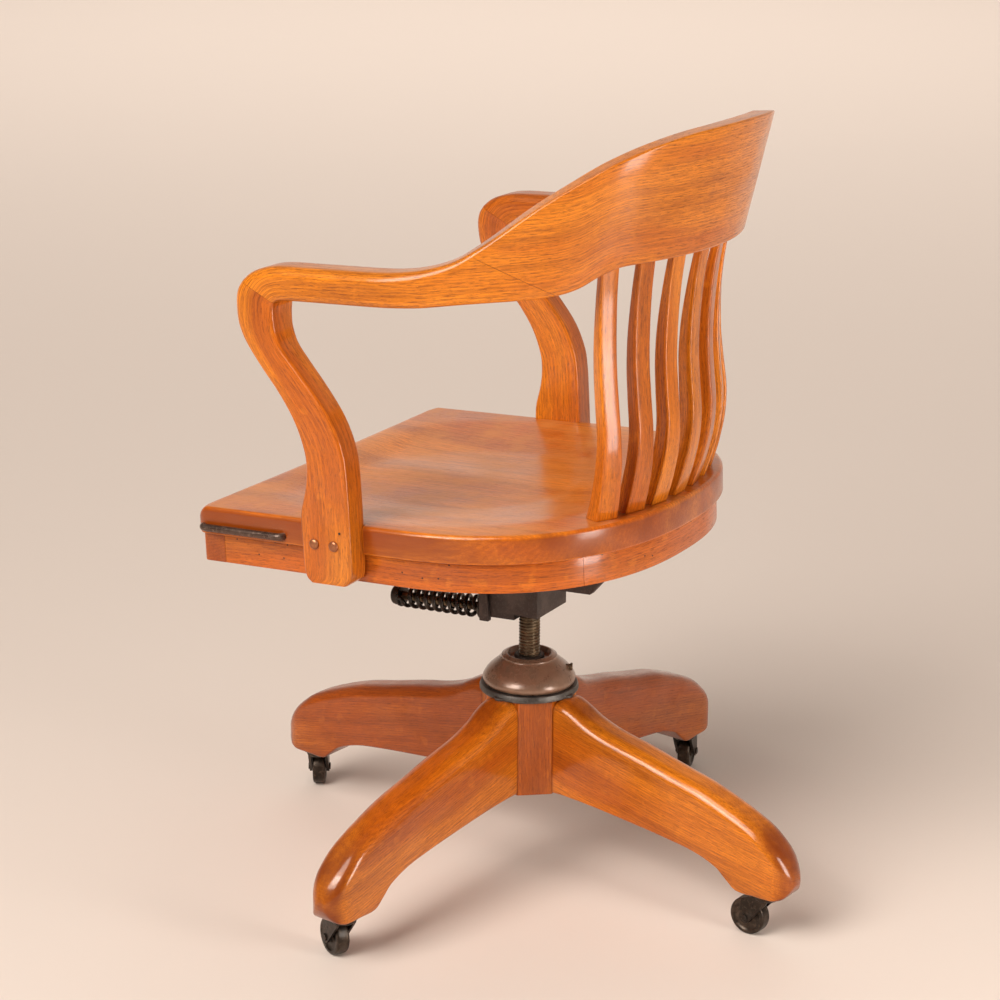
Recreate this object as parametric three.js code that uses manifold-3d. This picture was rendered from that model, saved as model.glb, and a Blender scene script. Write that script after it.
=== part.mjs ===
// Banker's swivel chair in oak: carved four-leg base on casters, screw spindle,
// sprung tilt yoke, saddle seat, bowed crest rail on bent slats, arms on curved posts.
// Millimetres, +Z up. The chair faces -Y and the sitter's left is +X.
import * as THREE from 'three';
import { mergeVertices } from 'three/addons/utils/BufferGeometryUtils.js';
import Module from 'manifold-3d';

const wasm = await Module();
wasm.setup();
const { Manifold, Mesh } = wasm;

// shared sizes
const GAP = 0.3; // between pieces that touch or run on each other
const MERGE = 1e-4; // corners closer than this are one corner
const OVERRUN = 3; // how far a cut runs past the face it opens
const TURN = Math.PI * 2;
const DEG = Math.PI / 180;

// base
const LEG_COUNT = 4;
const BASE_TURN = 82.3; // degrees from the chair's front to the first leg
const LEG_WIDTH = 45;
const LEG_EDGE = 11; // rounding of the upper long edges
const LEG_LOWER_EDGE = 3;
const LEG_REACH = 359.5; // column axis to the nose of the leg
const STEM_INSET = 38.5; // nose of the leg to caster stem
const STEM_RADIUS = LEG_REACH - STEM_INSET;
const LEG_TOP_Z = 211.3;
const HUB_HALF = 49.5; // column axis to the flat that carries a leg
const HUB_CORNER = 51; // column axis to the corner facet
const HUB_BOTTOM_Z = 100;
const HUB_PLATE_RADIUS = 38;
const HUB_PLATE_THICK = 3;
const TUBE_WALL = 3;
const TUBE_CLEAR = 2; // between the tube and the spindle

const FLANGE_THICK = 3;
const FLANGE_HALF = 44; // half a side of the square plate
const FLANGE_CORNER = 7;
const RING_RADIUS = 56;
const RING_HEIGHT = 4;
const RING_SLOPE = 1.5; // the ring's top is this much smaller than its foot

const CASTER_PLATE_RADIUS = 18;
const CASTER_PLATE_THICK = 3;
const CASTER_STEM_RADIUS = 6;
const CASTER_STEM_LENGTH = 36;
const PINTLE_RADIUS = 3.6;
const PINTLE_LENGTH = 24;
const WHEEL_RADIUS = 21;
const WHEEL_WIDTH = 15;
const WHEEL_CLEAR = 3.4; // wheel to horn
const WHEEL_CROWN = 2.5; // rounding of the tread's edges
const WHEEL_DISH = 2; // depth of the recess in the wheel's side
const WHEEL_RIM = 5;
const WHEEL_HUB_RADIUS = 7;
const AXLE_RADIUS = 2.5;
const AXLE_HEAD_RADIUS = 4.2;
const AXLE_HEAD = 1.6;
const TRAIL = 20; // stem to axle, level
const HORN_TOP_RADIUS = 14;
const HORN_TOP_THICK = 5;
const HORN_CHEEK = 3.2;
const HORN_SIDE_GAP = 1.2;
const HORN_EYE = 6.5; // radius of the cheek around the axle
const EYE_FROM = 200; // degrees round the eye where its arc begins
const EYE_TO = 380;
const HORN_BACK_SHARE = 0.55; // of the horn's top radius, the cheek behind the pintle
const HORN_WAIST_SHARE = 0.4;
const HORN_FRONT_SHARE = 0.75; // of the trail and of the eye, the cheek's front edge
const HORN_TOP_Z = 2 * WHEEL_RADIUS + WHEEL_CLEAR + HORN_TOP_THICK;
const CASTER_PLATE_LOW_Z = HORN_TOP_Z + GAP;
const FOOT_Z = CASTER_PLATE_LOW_Z + CASTER_PLATE_THICK + GAP; // underside of the leg over the caster
const TRAIL_TURNS = [-28, -7.7, -77, -60]; // degrees from the chair's front, as each caster stands

// swivel head and spindle
const DOME_RADIUS = 52.2;
const DOME_HEIGHT = 33.8;
const DOME_JOURNAL_LENGTH = 22;
const DOME_RECESS = 6; // depth of the recess round the spindle
const SPINDLE_RADIUS = 12;
const TUBE_RADIUS = SPINDLE_RADIUS + TUBE_CLEAR + TUBE_WALL;
const DOME_JOURNAL_WALL = 10;
const DOME_JOURNAL_RADIUS = SPINDLE_RADIUS + DOME_JOURNAL_WALL;
const THREAD_PITCH = 3.6;
const THREAD_DEPTH = 1.7;
const THREAD_TOP_DROP = 2; // the thread stops this far under the yoke
const SPINDLE_FOOT = 37.5; // spindle's end over the hub's underside
const THREAD_FOOT = 51.8; // and its lowest thread
const SPINDLE_SHOW = 53.8; // dome's top to yoke
const SPINDLE_SEAT = 27; // length inside the yoke
const COLLAR_WALL = 5;
const COLLAR_RADIUS = SPINDLE_RADIUS + COLLAR_WALL;
const COLLAR_HEIGHT = 4.5;
const SET_SCREW_RADIUS = 3;
const SET_SCREW_HEAD = 4.2;
const SET_SCREW_HEAD_HEIGHT = 2.6;
const SET_SCREW_LENGTH = 16;
const SET_SCREW_TURN = 205; // degrees from the chair's front
const SET_SCREW_RISE = 18; // above the dome's foot
const SET_SCREW_OUT_SHARE = 0.93; // of the dome's radius, the outer end of the screw
const COLLAR_BEVEL_SHARE = 0.3;

// yoke and spring
const FLANGE_LOW_Z = LEG_TOP_Z + GAP;
const DOME_LOW_Z = FLANGE_LOW_Z + FLANGE_THICK + RING_HEIGHT + GAP;
const DOME_TOP_Z = DOME_LOW_Z + DOME_HEIGHT;
const YOKE_BOTTOM_Z = DOME_TOP_Z + SPINDLE_SHOW;
const YOKE_HEIGHT = 33; // bottom to the floor between the cheeks
const YOKE_HALF = 33.4; // half the width over the cheeks
const YOKE_CHEEK = 10;
const YOKE_LEAN = 8; // how far the cheeks' front edge leans forward below the shaft
const YOKE_REAR = 28;
const YOKE_WALL = 6; // in front of the spindle
const YOKE_FRONT = SPINDLE_RADIUS + YOKE_WALL;
const NOSE_WALL = 4; // beside the bolt
const NOSE_FLOOR = 2.5; // under the bolt
const NOSE_RISE = 26; // nose above the bolt's middle
const SHAFT_Y = -40.8;
const SHAFT_RISE = 47.4; // over the yoke's underside
const SHAFT_Z = YOKE_BOTTOM_Z + SHAFT_RISE;
const SHAFT_RADIUS = 7;
const SHAFT_SHOW = 4; // outside the seat irons
const BOSS_WALL = 6.5;
const BOSS_RADIUS = SHAFT_RADIUS + BOSS_WALL;
const REST_LEAN = 2.85; // degrees that the seat leans forward at rest

const BOLT_RADIUS = 5;
const BOLT_DROP = 57.5; // under the shaft, before the rest lean
const BOLT_Z = SHAFT_Z - BOLT_DROP;
const NOSE_HALF = BOLT_RADIUS + NOSE_WALL;
const NOSE_DROP = BOLT_RADIUS + NOSE_FLOOR;
const BOLT_SEAT = 22; // length inside the yoke's nose
const SPRING_CLEAR = 3; // wire to bolt
const WIRE_RADIUS = 2.7;
const SPRING_RADIUS = BOLT_RADIUS + SPRING_CLEAR + WIRE_RADIUS; // axis to the middle of the wire
const SPRING_LENGTH = 105;
const SPRING_CURLS = 10;
const WASHER_RIM = 0.6; // outside the spring
const WASHER_RADIUS = SPRING_RADIUS + WIRE_RADIUS + WASHER_RIM;
const WASHER_THICK = 2.7;
const CAP_RIM = -0.4;
const CAP_RADIUS = SPRING_RADIUS + WIRE_RADIUS + CAP_RIM;
const CAP_THICK = 3;
const NUT_WALL = 6.5;
const NUT_RADIUS = BOLT_RADIUS + NUT_WALL;
const NUT_LENGTH = 9;
const NUT_ROUND = 4; // rounding of the nut's front
const FORK_THICK = 12; // front to back
const FORK_PRONG = 7.5;
const FORK_SLOT_SIDE = 1.5; // slot's side clearance on the bolt
const FORK_HALF = BOLT_RADIUS + FORK_SLOT_SIDE + FORK_PRONG;
const FORK_SLOT_RISE = 3; // slot's clearance above the bolt at rest
const FORK_DROP = 12; // fork below the bolt's middle
const FORK_STAND = 8.2; // fork's rear face in front of the shaft
const FORK_REAR_Y = SHAFT_Y - FORK_STAND;
const CROSS_BAR_RISE = 19.1; // over the shaft
const CROSS_BAR_Z = SHAFT_Z + CROSS_BAR_RISE;
const CROSS_BAR_HEIGHT = 14;

// seat
const SEAT_HALF = 241;
const SEAT_FRONT_Y = -274;
const SEAT_BACK_Y = 200;
const PLAN_Y = -25.8; // where the sides end and the bow begins, and the bow's centre
const BACK_SQUARE = 2.37; // fullness of the back curve, 2 is an ellipse
const BOARD_THICK = 30.8;
const CORNER_RADIUS = 12;
const EDGE_ROUND = 5; // side and back edge
const FRONT_ROLL = 13; // front edge
const BOARD_LOWER_EDGE = 3;
const DISH_DEPTH = 10;
const DISH_RIM = 46; // flat rim left outside the dish at the back
const POMMEL = 5; // height of the ridge at the front of the dish
const POMMEL_HALF = 42;
const DISH_FRONT_SHARE = 0.75; // how much slower the dish rises towards the front
const DISH_FLAT_SHARE = 1.5; // over one, so the dish has a level floor
const DISH_POWER = 1.2;
const ROLL_LIMIT_SHARE = 0.6; // of the board's thickness, the largest edge rounding
// share of the rounding in from the edge, share of it down from the top
const EDGE_SHARES = [[0, 1], [0.13, 0.5], [0.5, 0.13], [1, 0]];
// share of the way from the edge to the middle
const DISH_RING_SHARES = [0.13, 0.21, 0.32, 0.46, 0.64, 0.84];
const RAIL_INSET = 7.5;
const FRONT_RAIL_INSET = 3;
const RAIL_THICK = 26;
const FRONT_RAIL_THICK = 28.5;
const RAIL_HEIGHT = 32;
const IRON_RISE = 39.1; // shaft to the top of the seat irons
const IRON_TOP_Z = SHAFT_Z + IRON_RISE;
const RAIL_LOW_Z = IRON_TOP_Z + GAP;
const SEAT_TOP_Z = RAIL_LOW_Z + RAIL_HEIGHT + GAP + BOARD_THICK;
const RAIL_CORNER = 4;
const RAIL_EDGE = 1;
const BATTEN_WIDTH = 48;
const FRONT_BATTEN_Y = -142;
const REAR_BATTEN_Y = 112;
const SIDE_RAIL_END = 52; // degrees round the bow from its side
const RAIL_JOINT_SHARE = 1.4; // of the gap's angle, as the curve is not a circle

// seat irons
const IRON_X = 50; // inner face of the web
const IRON_WEB = 10;
const IRON_FLANGE = 28;
const IRON_FLANGE_THICK = 4;
const IRON_FRONT_Y = -164;
const IRON_REAR_Y = 146;
const IRON_DEEP = 43; // web's depth behind the shaft
// of the iron's run and of its depth, the corners of its lower edge
const IRON_FRONT_SHARE = 0.26;
const IRON_FRONT_DEPTH_SHARE = 0.55;
const IRON_REAR_SHARE = 0.125;
const IRON_HEEL_SHARE = 0.075;
const IRON_HEEL_DEPTH_SHARE = 0.38;
const IRON_BOSS_TO = 285; // degrees round the shaft where the boss runs into the web
const IRON_BOSS_SHARE = 2.4; // of the boss radius, where the lower edge runs level
const IRON_TIP_SHARE = 1.6; // of the flange's thickness
const IRON_SCREW_RADIUS = 2.6;
const IRON_SCREW_HEAD = 5.5;
const IRON_SCREW_HEAD_HEIGHT = 2.8;
const IRON_SCREW_GRIP = 20;
const SCREW_CROWN_SHARE = 0.6; // of the head, where its dome turns over

// back and arms
const BOW_STAND = 21; // the bow's outer face outside the seat, at the height BOW_Z
const BOW_RADIUS = SEAT_HALF + BOW_STAND;
const ARM_STAND = 23; // outer face of arm and post, outside the seat
const ARM_OUT = SEAT_HALF + ARM_STAND;
const ARM_RISE = 271.1; // seat's rim to the top of the arm
const ARM_TOP_Z = SEAT_TOP_Z + ARM_RISE;
const ARM_DEPTH = 34.5;
const ARM_LOW_Z = ARM_TOP_Z - ARM_DEPTH;
const BOW_DROP = 13.6;
const BOW_Z = ARM_TOP_Z - BOW_DROP;
const CREST_LEAN = 0.262; // outward per upward
const CREST_THICK = 24;
const CREST_TOP_ROUND = 6;
const CREST_LOWER_ROUND = 3.5;
const CREST_DROP = 2; // crest rail's lower edge under the arm's top
const CREST_LOW_Z = ARM_TOP_Z - CREST_DROP;
const CREST_HEIGHT = 130;
const CREST_TOP_Z = CREST_LOW_Z + CREST_HEIGHT;
const ARM_THICK = 42;
const ARM_TOP_ROUND = 10;
const ARM_LOWER_ROUND = 5;
const SCARF_BACK = 47; // degrees round the bow where the scarf leaves the lower edge
const SCARF_FRONT = 66; // degrees round the bow where it reaches the upper edge
const SCARF_SPARE = 6; // degrees that the raw ends reach past the scarf
const SLAT_TURNS = [33, 22.4, 11.5]; // degrees from the middle slat, outermost first
const SLAT_WIDTH = 26; // at the foot
const SLAT_TOP_WIDTH = 20.5;
const SLAT_WAIST_SHARE = 0.33; // share of the height where the slat has narrowed to that
const SLAT_INSET = 12.6; // middle slat's back face in from the seat's back edge
const SLAT_FOOT_RADIUS = SEAT_BACK_Y - PLAN_Y - SLAT_INSET;
const SLAT_SPREAD = 13; // how much further out the outermost slat's foot stands
const SLAT_TOP_INSET = 11.8; // in from the bow's outer face
const SLAT_TOP_RADIUS = BOW_RADIUS - SLAT_TOP_INSET;
const SLAT_FOOT_THICK = 22;
const SLAT_TOP_THICK = 9;
const SLAT_BULGE = 11.3;
const SLAT_EDGE = 1.5;
const POST_TOP_THICK = 41;
const POST_EDGE = 3.5;
const ELBOW_Y = -187.5; // foremost point of arm and post
const ELBOW_RUN = 46; // foremost point to where the arm's top runs level
const POST_FOOT_RISE = 3.2; // over the rails' underside
const POST_LOW_Z = RAIL_LOW_Z + POST_FOOT_RISE;
const POST_DEPTH = 60; // foot, front to back
const POST_REAR_Y = -60.5;
const POST_SCREW_DROP = 17.4; // under the seat's rim
const POST_SCREW_Z = SEAT_TOP_Z - POST_SCREW_DROP;
const POST_SCREW_BACKS = [44, 20]; // in front of the foot's rear edge
const POST_SCREW_YS = POST_SCREW_BACKS.map((back) => POST_REAR_Y - back);
const POST_SCREW_RADIUS = 3;
const POST_SCREW_HEAD = 5.6;
const POST_SCREW_HEAD_HEIGHT = 3;
const POST_SCREW_GRIP = 26;
const ROD_RADIUS = 4;
const ROD_DROP = 21.9; // under the seat's rim
const ROD_Z = SEAT_TOP_Z - ROD_DROP;
const ROD_INSET = 10.5; // behind the seat's front edge
const ROD_FRONT_Y = SEAT_FRONT_Y + ROD_INSET;
const ROD_RUN = 103.5;
const ROD_REAR_Y = ROD_FRONT_Y + ROD_RUN;
const ROD_STAND = 0.5; // rod's clearance from the board
const ROD_BEND = 6;
const ROD_GRIP = 14;

// colours
const shade = (r, g, b) => new THREE.Color().setRGB(r, g, b, THREE.SRGBColorSpace);
const OAK = { color: shade(0.80, 0.45, 0.19), roughness: 0.38, metalness: 0 };
const OAK_PALE = { color: shade(0.86, 0.54, 0.27), roughness: 0.36, metalness: 0 };
const OAK_BROWN = { color: shade(0.66, 0.37, 0.2), roughness: 0.4, metalness: 0 };
const OAK_RED = { color: shade(0.68, 0.33, 0.12), roughness: 0.35, metalness: 0 };
const IRON = { color: shade(0.2, 0.17, 0.145), roughness: 0.55, metalness: 0.75 };
const BRONZE = { color: shade(0.36, 0.27, 0.2), roughness: 0.38, metalness: 0.8 };
const STEEL = { color: shade(0.3, 0.25, 0.21), roughness: 0.42, metalness: 0.85 };
const COPPER = { color: shade(0.5, 0.27, 0.15), roughness: 0.4, metalness: 0.7 };

// small helpers
const group = new THREE.Group();
group.name = 'bankers_swivel_chair';

function clean(geometry) {
  const bare = geometry.clone();
  bare.deleteAttribute('uv');
  bare.deleteAttribute('normal');
  const merged = mergeVertices(bare, MERGE);
  const index = Array.from(merged.index.array);
  const kept = [];
  for (let i = 0; i < index.length; i += 3) {
    const [a, b, c] = [index[i], index[i + 1], index[i + 2]];
    if (a !== b && b !== c && c !== a) kept.push(a, b, c);
  }
  merged.setIndex(kept);
  return outward(merged);
}

function outward(geometry) {
  const p = geometry.attributes.position;
  const index = geometry.index.array;
  const a = new THREE.Vector3();
  const b = new THREE.Vector3();
  const c = new THREE.Vector3();
  let volume = 0;
  for (let i = 0; i < index.length; i += 3) {
    a.fromBufferAttribute(p, index[i]);
    b.fromBufferAttribute(p, index[i + 1]);
    c.fromBufferAttribute(p, index[i + 2]);
    volume += a.dot(b.cross(c));
  }
  if (volume < 0) {
    for (let i = 0; i < index.length; i += 3) {
      const keep = index[i];
      index[i] = index[i + 1];
      index[i + 1] = keep;
    }
  }
  return geometry;
}

function solid(geometry) {
  const g = clean(geometry);
  return new Manifold(new Mesh({
    numProp: 3,
    vertProperties: new Float32Array(g.attributes.position.array),
    triVerts: new Uint32Array(g.index.array),
  }));
}

function shape(manifold) {
  const m = manifold.getMesh();
  const g = new THREE.BufferGeometry();
  g.setAttribute('position', new THREE.BufferAttribute(new Float32Array(m.vertProperties), 3));
  g.setIndex(Array.from(m.triVerts));
  return g;
}

function add(name, geometry, look) {
  const g = clean(geometry);
  g.computeVertexNormals();
  const mesh = new THREE.Mesh(g, new THREE.MeshStandardMaterial(look));
  mesh.name = name;
  group.add(mesh);
  return mesh;
}

// a turned piece: [radius, height] points round the Z axis
function turned(points, segments = 32) {
  const g = new THREE.LatheGeometry(points.map(([r, z]) => new THREE.Vector2(r, z)), segments);
  return g.rotateX(Math.PI / 2);
}

function rod(radius, low, high, segments = 20) {
  return turned([[0, low], [radius, low], [radius, high], [0, high]], segments);
}

// a rod along +X from x0 to x1 at the given y and z
function rodX(radius, x0, x1, y, z, segments = 20) {
  return rod(radius, x0, x1, segments).rotateY(Math.PI / 2).translate(0, y, z);
}

// a rod along +Y
function rodY(radius, y0, y1, x, z, segments = 20) {
  return rod(radius, y0, y1, segments).rotateX(-Math.PI / 2).translate(x, 0, z);
}

function block(x0, x1, y0, y1, z0, z1) {
  const g = new THREE.BoxGeometry(x1 - x0, y1 - y0, z1 - z0);
  return g.translate((x0 + x1) / 2, (y0 + y1) / 2, (z0 + z1) / 2);
}

// an outline in the YZ plane, thickened from x0 to x1
function plateX(points, x0, x1) {
  const outline = new THREE.Shape(points.map(([y, z]) => new THREE.Vector2(y, z)));
  const g = new THREE.ExtrudeGeometry(outline, { depth: x1 - x0, bevelEnabled: false });
  const m = new THREE.Matrix4().makeBasis(
    new THREE.Vector3(0, 1, 0), new THREE.Vector3(0, 0, 1), new THREE.Vector3(1, 0, 0));
  return g.applyMatrix4(m).translate(x0, 0, 0);
}

// an outline in the XZ plane, thickened from y0 to y1
function plateY(points, y0, y1) {
  const outline = new THREE.Shape(points.map(([x, z]) => new THREE.Vector2(x, z)));
  const g = new THREE.ExtrudeGeometry(outline, { depth: y1 - y0, bevelEnabled: false });
  const m = new THREE.Matrix4().makeBasis(
    new THREE.Vector3(1, 0, 0), new THREE.Vector3(0, 0, 1), new THREE.Vector3(0, -1, 0));
  return g.applyMatrix4(m).translate(0, y1, 0);
}

// an outline in plan, thickened from z0 to z1
function plateZ(points, z0, z1) {
  const outline = new THREE.Shape(points.map(([x, y]) => new THREE.Vector2(x, y)));
  const g = new THREE.ExtrudeGeometry(outline, { depth: z1 - z0, bevelEnabled: false });
  return g.translate(0, 0, z0);
}

// points of an arc from one angle to another, degrees, the ends included
function arc(cx, cy, radius, from, to, steps) {
  const points = [];
  for (let i = 0; i <= steps; i += 1) {
    const a = (from + (to - from) * i / steps) * DEG;
    points.push([cx + radius * Math.cos(a), cy + radius * Math.sin(a)]);
  }
  return points;
}

const ROUND_LIMIT_SHARE = 0.45; // of a section's smaller side, its largest rounding

// a section of width w and height h with its lower corners and its upper corners
// rounded; x runs inward from the outer face, y upward
function section(w, h, low, high, steps = 2) {
  const most = Math.min(w, h) * ROUND_LIMIT_SHARE;
  const l = Math.min(low, most);
  const u = Math.min(high, most);
  return [
    ...arc(l, l, l, 180, 270, steps),
    ...arc(w - l, l, l, 270, 360, steps),
    ...arc(w - u, h - u, u, 0, 90, steps),
    ...arc(u, h - u, u, 90, 180, steps),
  ];
}

// skins a row of sections; each station is { at, inward, upward, outline }
function skin(stations) {
  const count = stations[0].outline.length;
  const positions = [];
  for (const s of stations) {
    for (const [x, y] of s.outline) {
      const p = s.at.clone().addScaledVector(s.inward, x).addScaledVector(s.upward, y);
      positions.push(p.x, p.y, p.z);
    }
  }
  const index = [];
  for (let i = 0; i + 1 < stations.length; i += 1) {
    for (let j = 0; j < count; j += 1) {
      const k = (j + 1) % count;
      const a = i * count + j;
      const b = i * count + k;
      const c = (i + 1) * count + k;
      const d = (i + 1) * count + j;
      index.push(a, b, c, a, c, d);
    }
  }
  const flat = stations[0].outline.map(([x, y]) => new THREE.Vector2(x, y));
  const last = stations[stations.length - 1].outline.map(([x, y]) => new THREE.Vector2(x, y));
  const far = (stations.length - 1) * count;
  for (const [a, b, c] of THREE.ShapeUtils.triangulateShape(flat, [])) index.push(b, a, c);
  for (const [a, b, c] of THREE.ShapeUtils.triangulateShape(last, [])) {
    index.push(far + a, far + b, far + c);
  }
  const g = new THREE.BufferGeometry();
  g.setAttribute('position', new THREE.Float32BufferAttribute(positions, 3));
  g.setIndex(index);
  return outward(g);
}

// a smooth value through [place, value] pairs in rising order of place
function through(pairs, at) {
  const last = pairs.length - 1;
  if (at <= pairs[0][0]) return pairs[0][1];
  if (at >= pairs[last][0]) return pairs[last][1];
  let i = 0;
  while (pairs[i + 1][0] < at) i += 1;
  const slope = (k) => {
    if (k === 0 || k === last) return 0;
    return (pairs[k + 1][1] - pairs[k - 1][1]) / (pairs[k + 1][0] - pairs[k - 1][0]);
  };
  const [x0, y0] = pairs[i];
  const [x1, y1] = pairs[i + 1];
  const h = x1 - x0;
  const t = (at - x0) / h;
  const t2 = t * t;
  const t3 = t2 * t;
  return y0 * (2 * t3 - 3 * t2 + 1) + slope(i) * h * (t3 - 2 * t2 + t)
    + y1 * (3 * t2 - 2 * t3) + slope(i + 1) * h * (t3 - t2);
}

// from degrees off the chair's front to a level direction
const heading = (degrees) => new THREE.Vector3(Math.sin(degrees * DEG), -Math.cos(degrees * DEG), 0);

// the seat, back and irons are drawn level and then leaned about the tilt shaft
function leaned(geometry) {
  return geometry.translate(0, -SHAFT_Y, -SHAFT_Z).rotateX(REST_LEAN * DEG).translate(0, SHAFT_Y, SHAFT_Z);
}

const mirrored = (geometry) => outward(clean(geometry.clone().scale(-1, 1, 1)));

// legs and hub
// share of the reach, upper edge as a share of LEG_TOP_Z, lower edge as a share of FOOT_Z,
// width as a share of LEG_WIDTH
const LEG_SHARES = [
  [0.137, 1.0, 1.88, 1], [0.17, 1.0, 1.885, 1], [0.207, 0.974, 1.875, 1],
  [0.254, 0.93, 1.86, 1], [0.331, 0.884, 1.82, 1], [0.445, 0.842, 1.745, 1],
  [0.566, 0.79, 1.655, 1], [0.67, 0.748, 1.545, 1], [0.748, 0.704, 1.36, 1],
  [0.784, 0.68, 1.17, 1], [0.82, 0.656, 1, 1], [0.884, 0.602, 1, 1],
  [0.938, 0.53, 1, 0.96], [0.96, 0.493, 1.03, 0.86], [0.976, 0.458, 1.09, 0.7],
  [0.988, 0.418, 1.2, 0.5], [0.997, 0.37, 1.33, 0.27],
];

function legBody() {
  const inner = HUB_HALF + GAP;
  const stations = LEG_SHARES.map(([r, top, low, width], i) => {
    const reach = i === 0 ? inner : r * LEG_REACH;
    const w = LEG_WIDTH * width;
    const z0 = low * FOOT_Z;
    const z1 = top * LEG_TOP_Z;
    return {
      at: new THREE.Vector3(-w / 2, -reach, z0),
      inward: new THREE.Vector3(1, 0, 0),
      upward: new THREE.Vector3(0, 0, 1),
      outline: section(w, z1 - z0, LEG_LOWER_EDGE, LEG_EDGE),
    };
  });
  return skin(stations);
}

const legBore = rod(CASTER_STEM_RADIUS + GAP, FOOT_Z - OVERRUN, FOOT_Z + CASTER_STEM_LENGTH + GAP)
  .translate(0, -STEM_RADIUS, 0);
const legSolid = solid(legBody()).subtract(solid(legBore));
const legTurns = Array.from({ length: LEG_COUNT }, (_, i) => BASE_TURN + i * 360 / LEG_COUNT);
legTurns.forEach((turn, i) => {
  add(`leg_${i + 1}`, shape(legSolid).rotateZ(turn * DEG), OAK_RED);
});

const HUB_TOP_Z = LEG_TOP_Z;
const facet = HUB_CORNER * Math.SQRT2 - HUB_HALF;
const hubOutline = [
  [HUB_HALF, -facet], [HUB_HALF, facet], [facet, HUB_HALF], [-facet, HUB_HALF],
  [-HUB_HALF, facet], [-HUB_HALF, -facet], [-facet, -HUB_HALF], [facet, -HUB_HALF],
];
const JOURNAL_LOW_Z = DOME_LOW_Z - DOME_JOURNAL_LENGTH;
const TUBE_TOP_Z = JOURNAL_LOW_Z - GAP * 2;
const hub = solid(plateZ(hubOutline, HUB_BOTTOM_Z, HUB_TOP_Z))
  .subtract(solid(rod(TUBE_RADIUS + GAP, HUB_BOTTOM_Z - OVERRUN, HUB_TOP_Z + OVERRUN, 24)))
  .subtract(solid(rod(DOME_JOURNAL_RADIUS + GAP, TUBE_TOP_Z, HUB_TOP_Z + OVERRUN, 20)));
add('hub_block', shape(hub).rotateZ(BASE_TURN * DEG), OAK_RED);

add('hub_tube', turned([
  [TUBE_RADIUS, HUB_BOTTOM_Z], [TUBE_RADIUS, TUBE_TOP_Z],
  [TUBE_RADIUS - TUBE_WALL, TUBE_TOP_Z], [TUBE_RADIUS - TUBE_WALL, HUB_BOTTOM_Z],
  [TUBE_RADIUS, HUB_BOTTOM_Z],
], 20), STEEL);

const PLATE_TOP_Z = HUB_BOTTOM_Z - GAP;
add('hub_plate', turned([
  [TUBE_RADIUS - TUBE_WALL, PLATE_TOP_Z - HUB_PLATE_THICK],
  [HUB_PLATE_RADIUS, PLATE_TOP_Z - HUB_PLATE_THICK],
  [HUB_PLATE_RADIUS, PLATE_TOP_Z],
  [TUBE_RADIUS - TUBE_WALL, PLATE_TOP_Z],
  [TUBE_RADIUS - TUBE_WALL, PLATE_TOP_Z - HUB_PLATE_THICK],
], 24), IRON);

// flange: a square plate, its corners over the legs, and a raised ring
const cornerFlat = FLANGE_HALF - FLANGE_CORNER;
const flangeOutline = [
  ...arc(cornerFlat, cornerFlat, FLANGE_CORNER, 0, 90, 3),
  ...arc(-cornerFlat, cornerFlat, FLANGE_CORNER, 90, 180, 3),
  ...arc(-cornerFlat, -cornerFlat, FLANGE_CORNER, 180, 270, 3),
  ...arc(cornerFlat, -cornerFlat, FLANGE_CORNER, 270, 360, 3),
];
const flange = solid(plateZ(flangeOutline, FLANGE_LOW_Z, FLANGE_LOW_Z + FLANGE_THICK).rotateZ(45 * DEG))
  .add(solid(turned([
    [0, FLANGE_LOW_Z], [RING_RADIUS, FLANGE_LOW_Z], [RING_RADIUS, FLANGE_LOW_Z + FLANGE_THICK],
    [RING_RADIUS - RING_SLOPE, FLANGE_LOW_Z + FLANGE_THICK + RING_HEIGHT],
    [0, FLANGE_LOW_Z + FLANGE_THICK + RING_HEIGHT],
  ], 32)))
  .subtract(solid(rod(DOME_JOURNAL_RADIUS + GAP, FLANGE_LOW_Z - OVERRUN, DOME_LOW_Z + OVERRUN, 24)));
add('base_flange', shape(flange).rotateZ(BASE_TURN * DEG), IRON);

// casters
const HORN_LOW_Z = HORN_TOP_Z - HORN_TOP_THICK;
const cheekIn = WHEEL_WIDTH / 2 + HORN_SIDE_GAP;
const cheekOut = cheekIn + HORN_CHEEK;
const pintleTop = HORN_TOP_Z + PINTLE_LENGTH;

const casterPlate = turned([
  [PINTLE_RADIUS + GAP, CASTER_PLATE_LOW_Z],
  [CASTER_PLATE_RADIUS - CASTER_PLATE_THICK / 3, CASTER_PLATE_LOW_Z],
  [CASTER_PLATE_RADIUS, CASTER_PLATE_LOW_Z + CASTER_PLATE_THICK / 3],
  [CASTER_PLATE_RADIUS, CASTER_PLATE_LOW_Z + CASTER_PLATE_THICK],
  [CASTER_STEM_RADIUS, CASTER_PLATE_LOW_Z + CASTER_PLATE_THICK],
  [CASTER_STEM_RADIUS, FOOT_Z + CASTER_STEM_LENGTH],
  [0, FOOT_Z + CASTER_STEM_LENGTH],
  [0, pintleTop + GAP],
  [PINTLE_RADIUS + GAP, pintleTop + GAP],
  [PINTLE_RADIUS + GAP, CASTER_PLATE_LOW_Z],
], 12);

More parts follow.
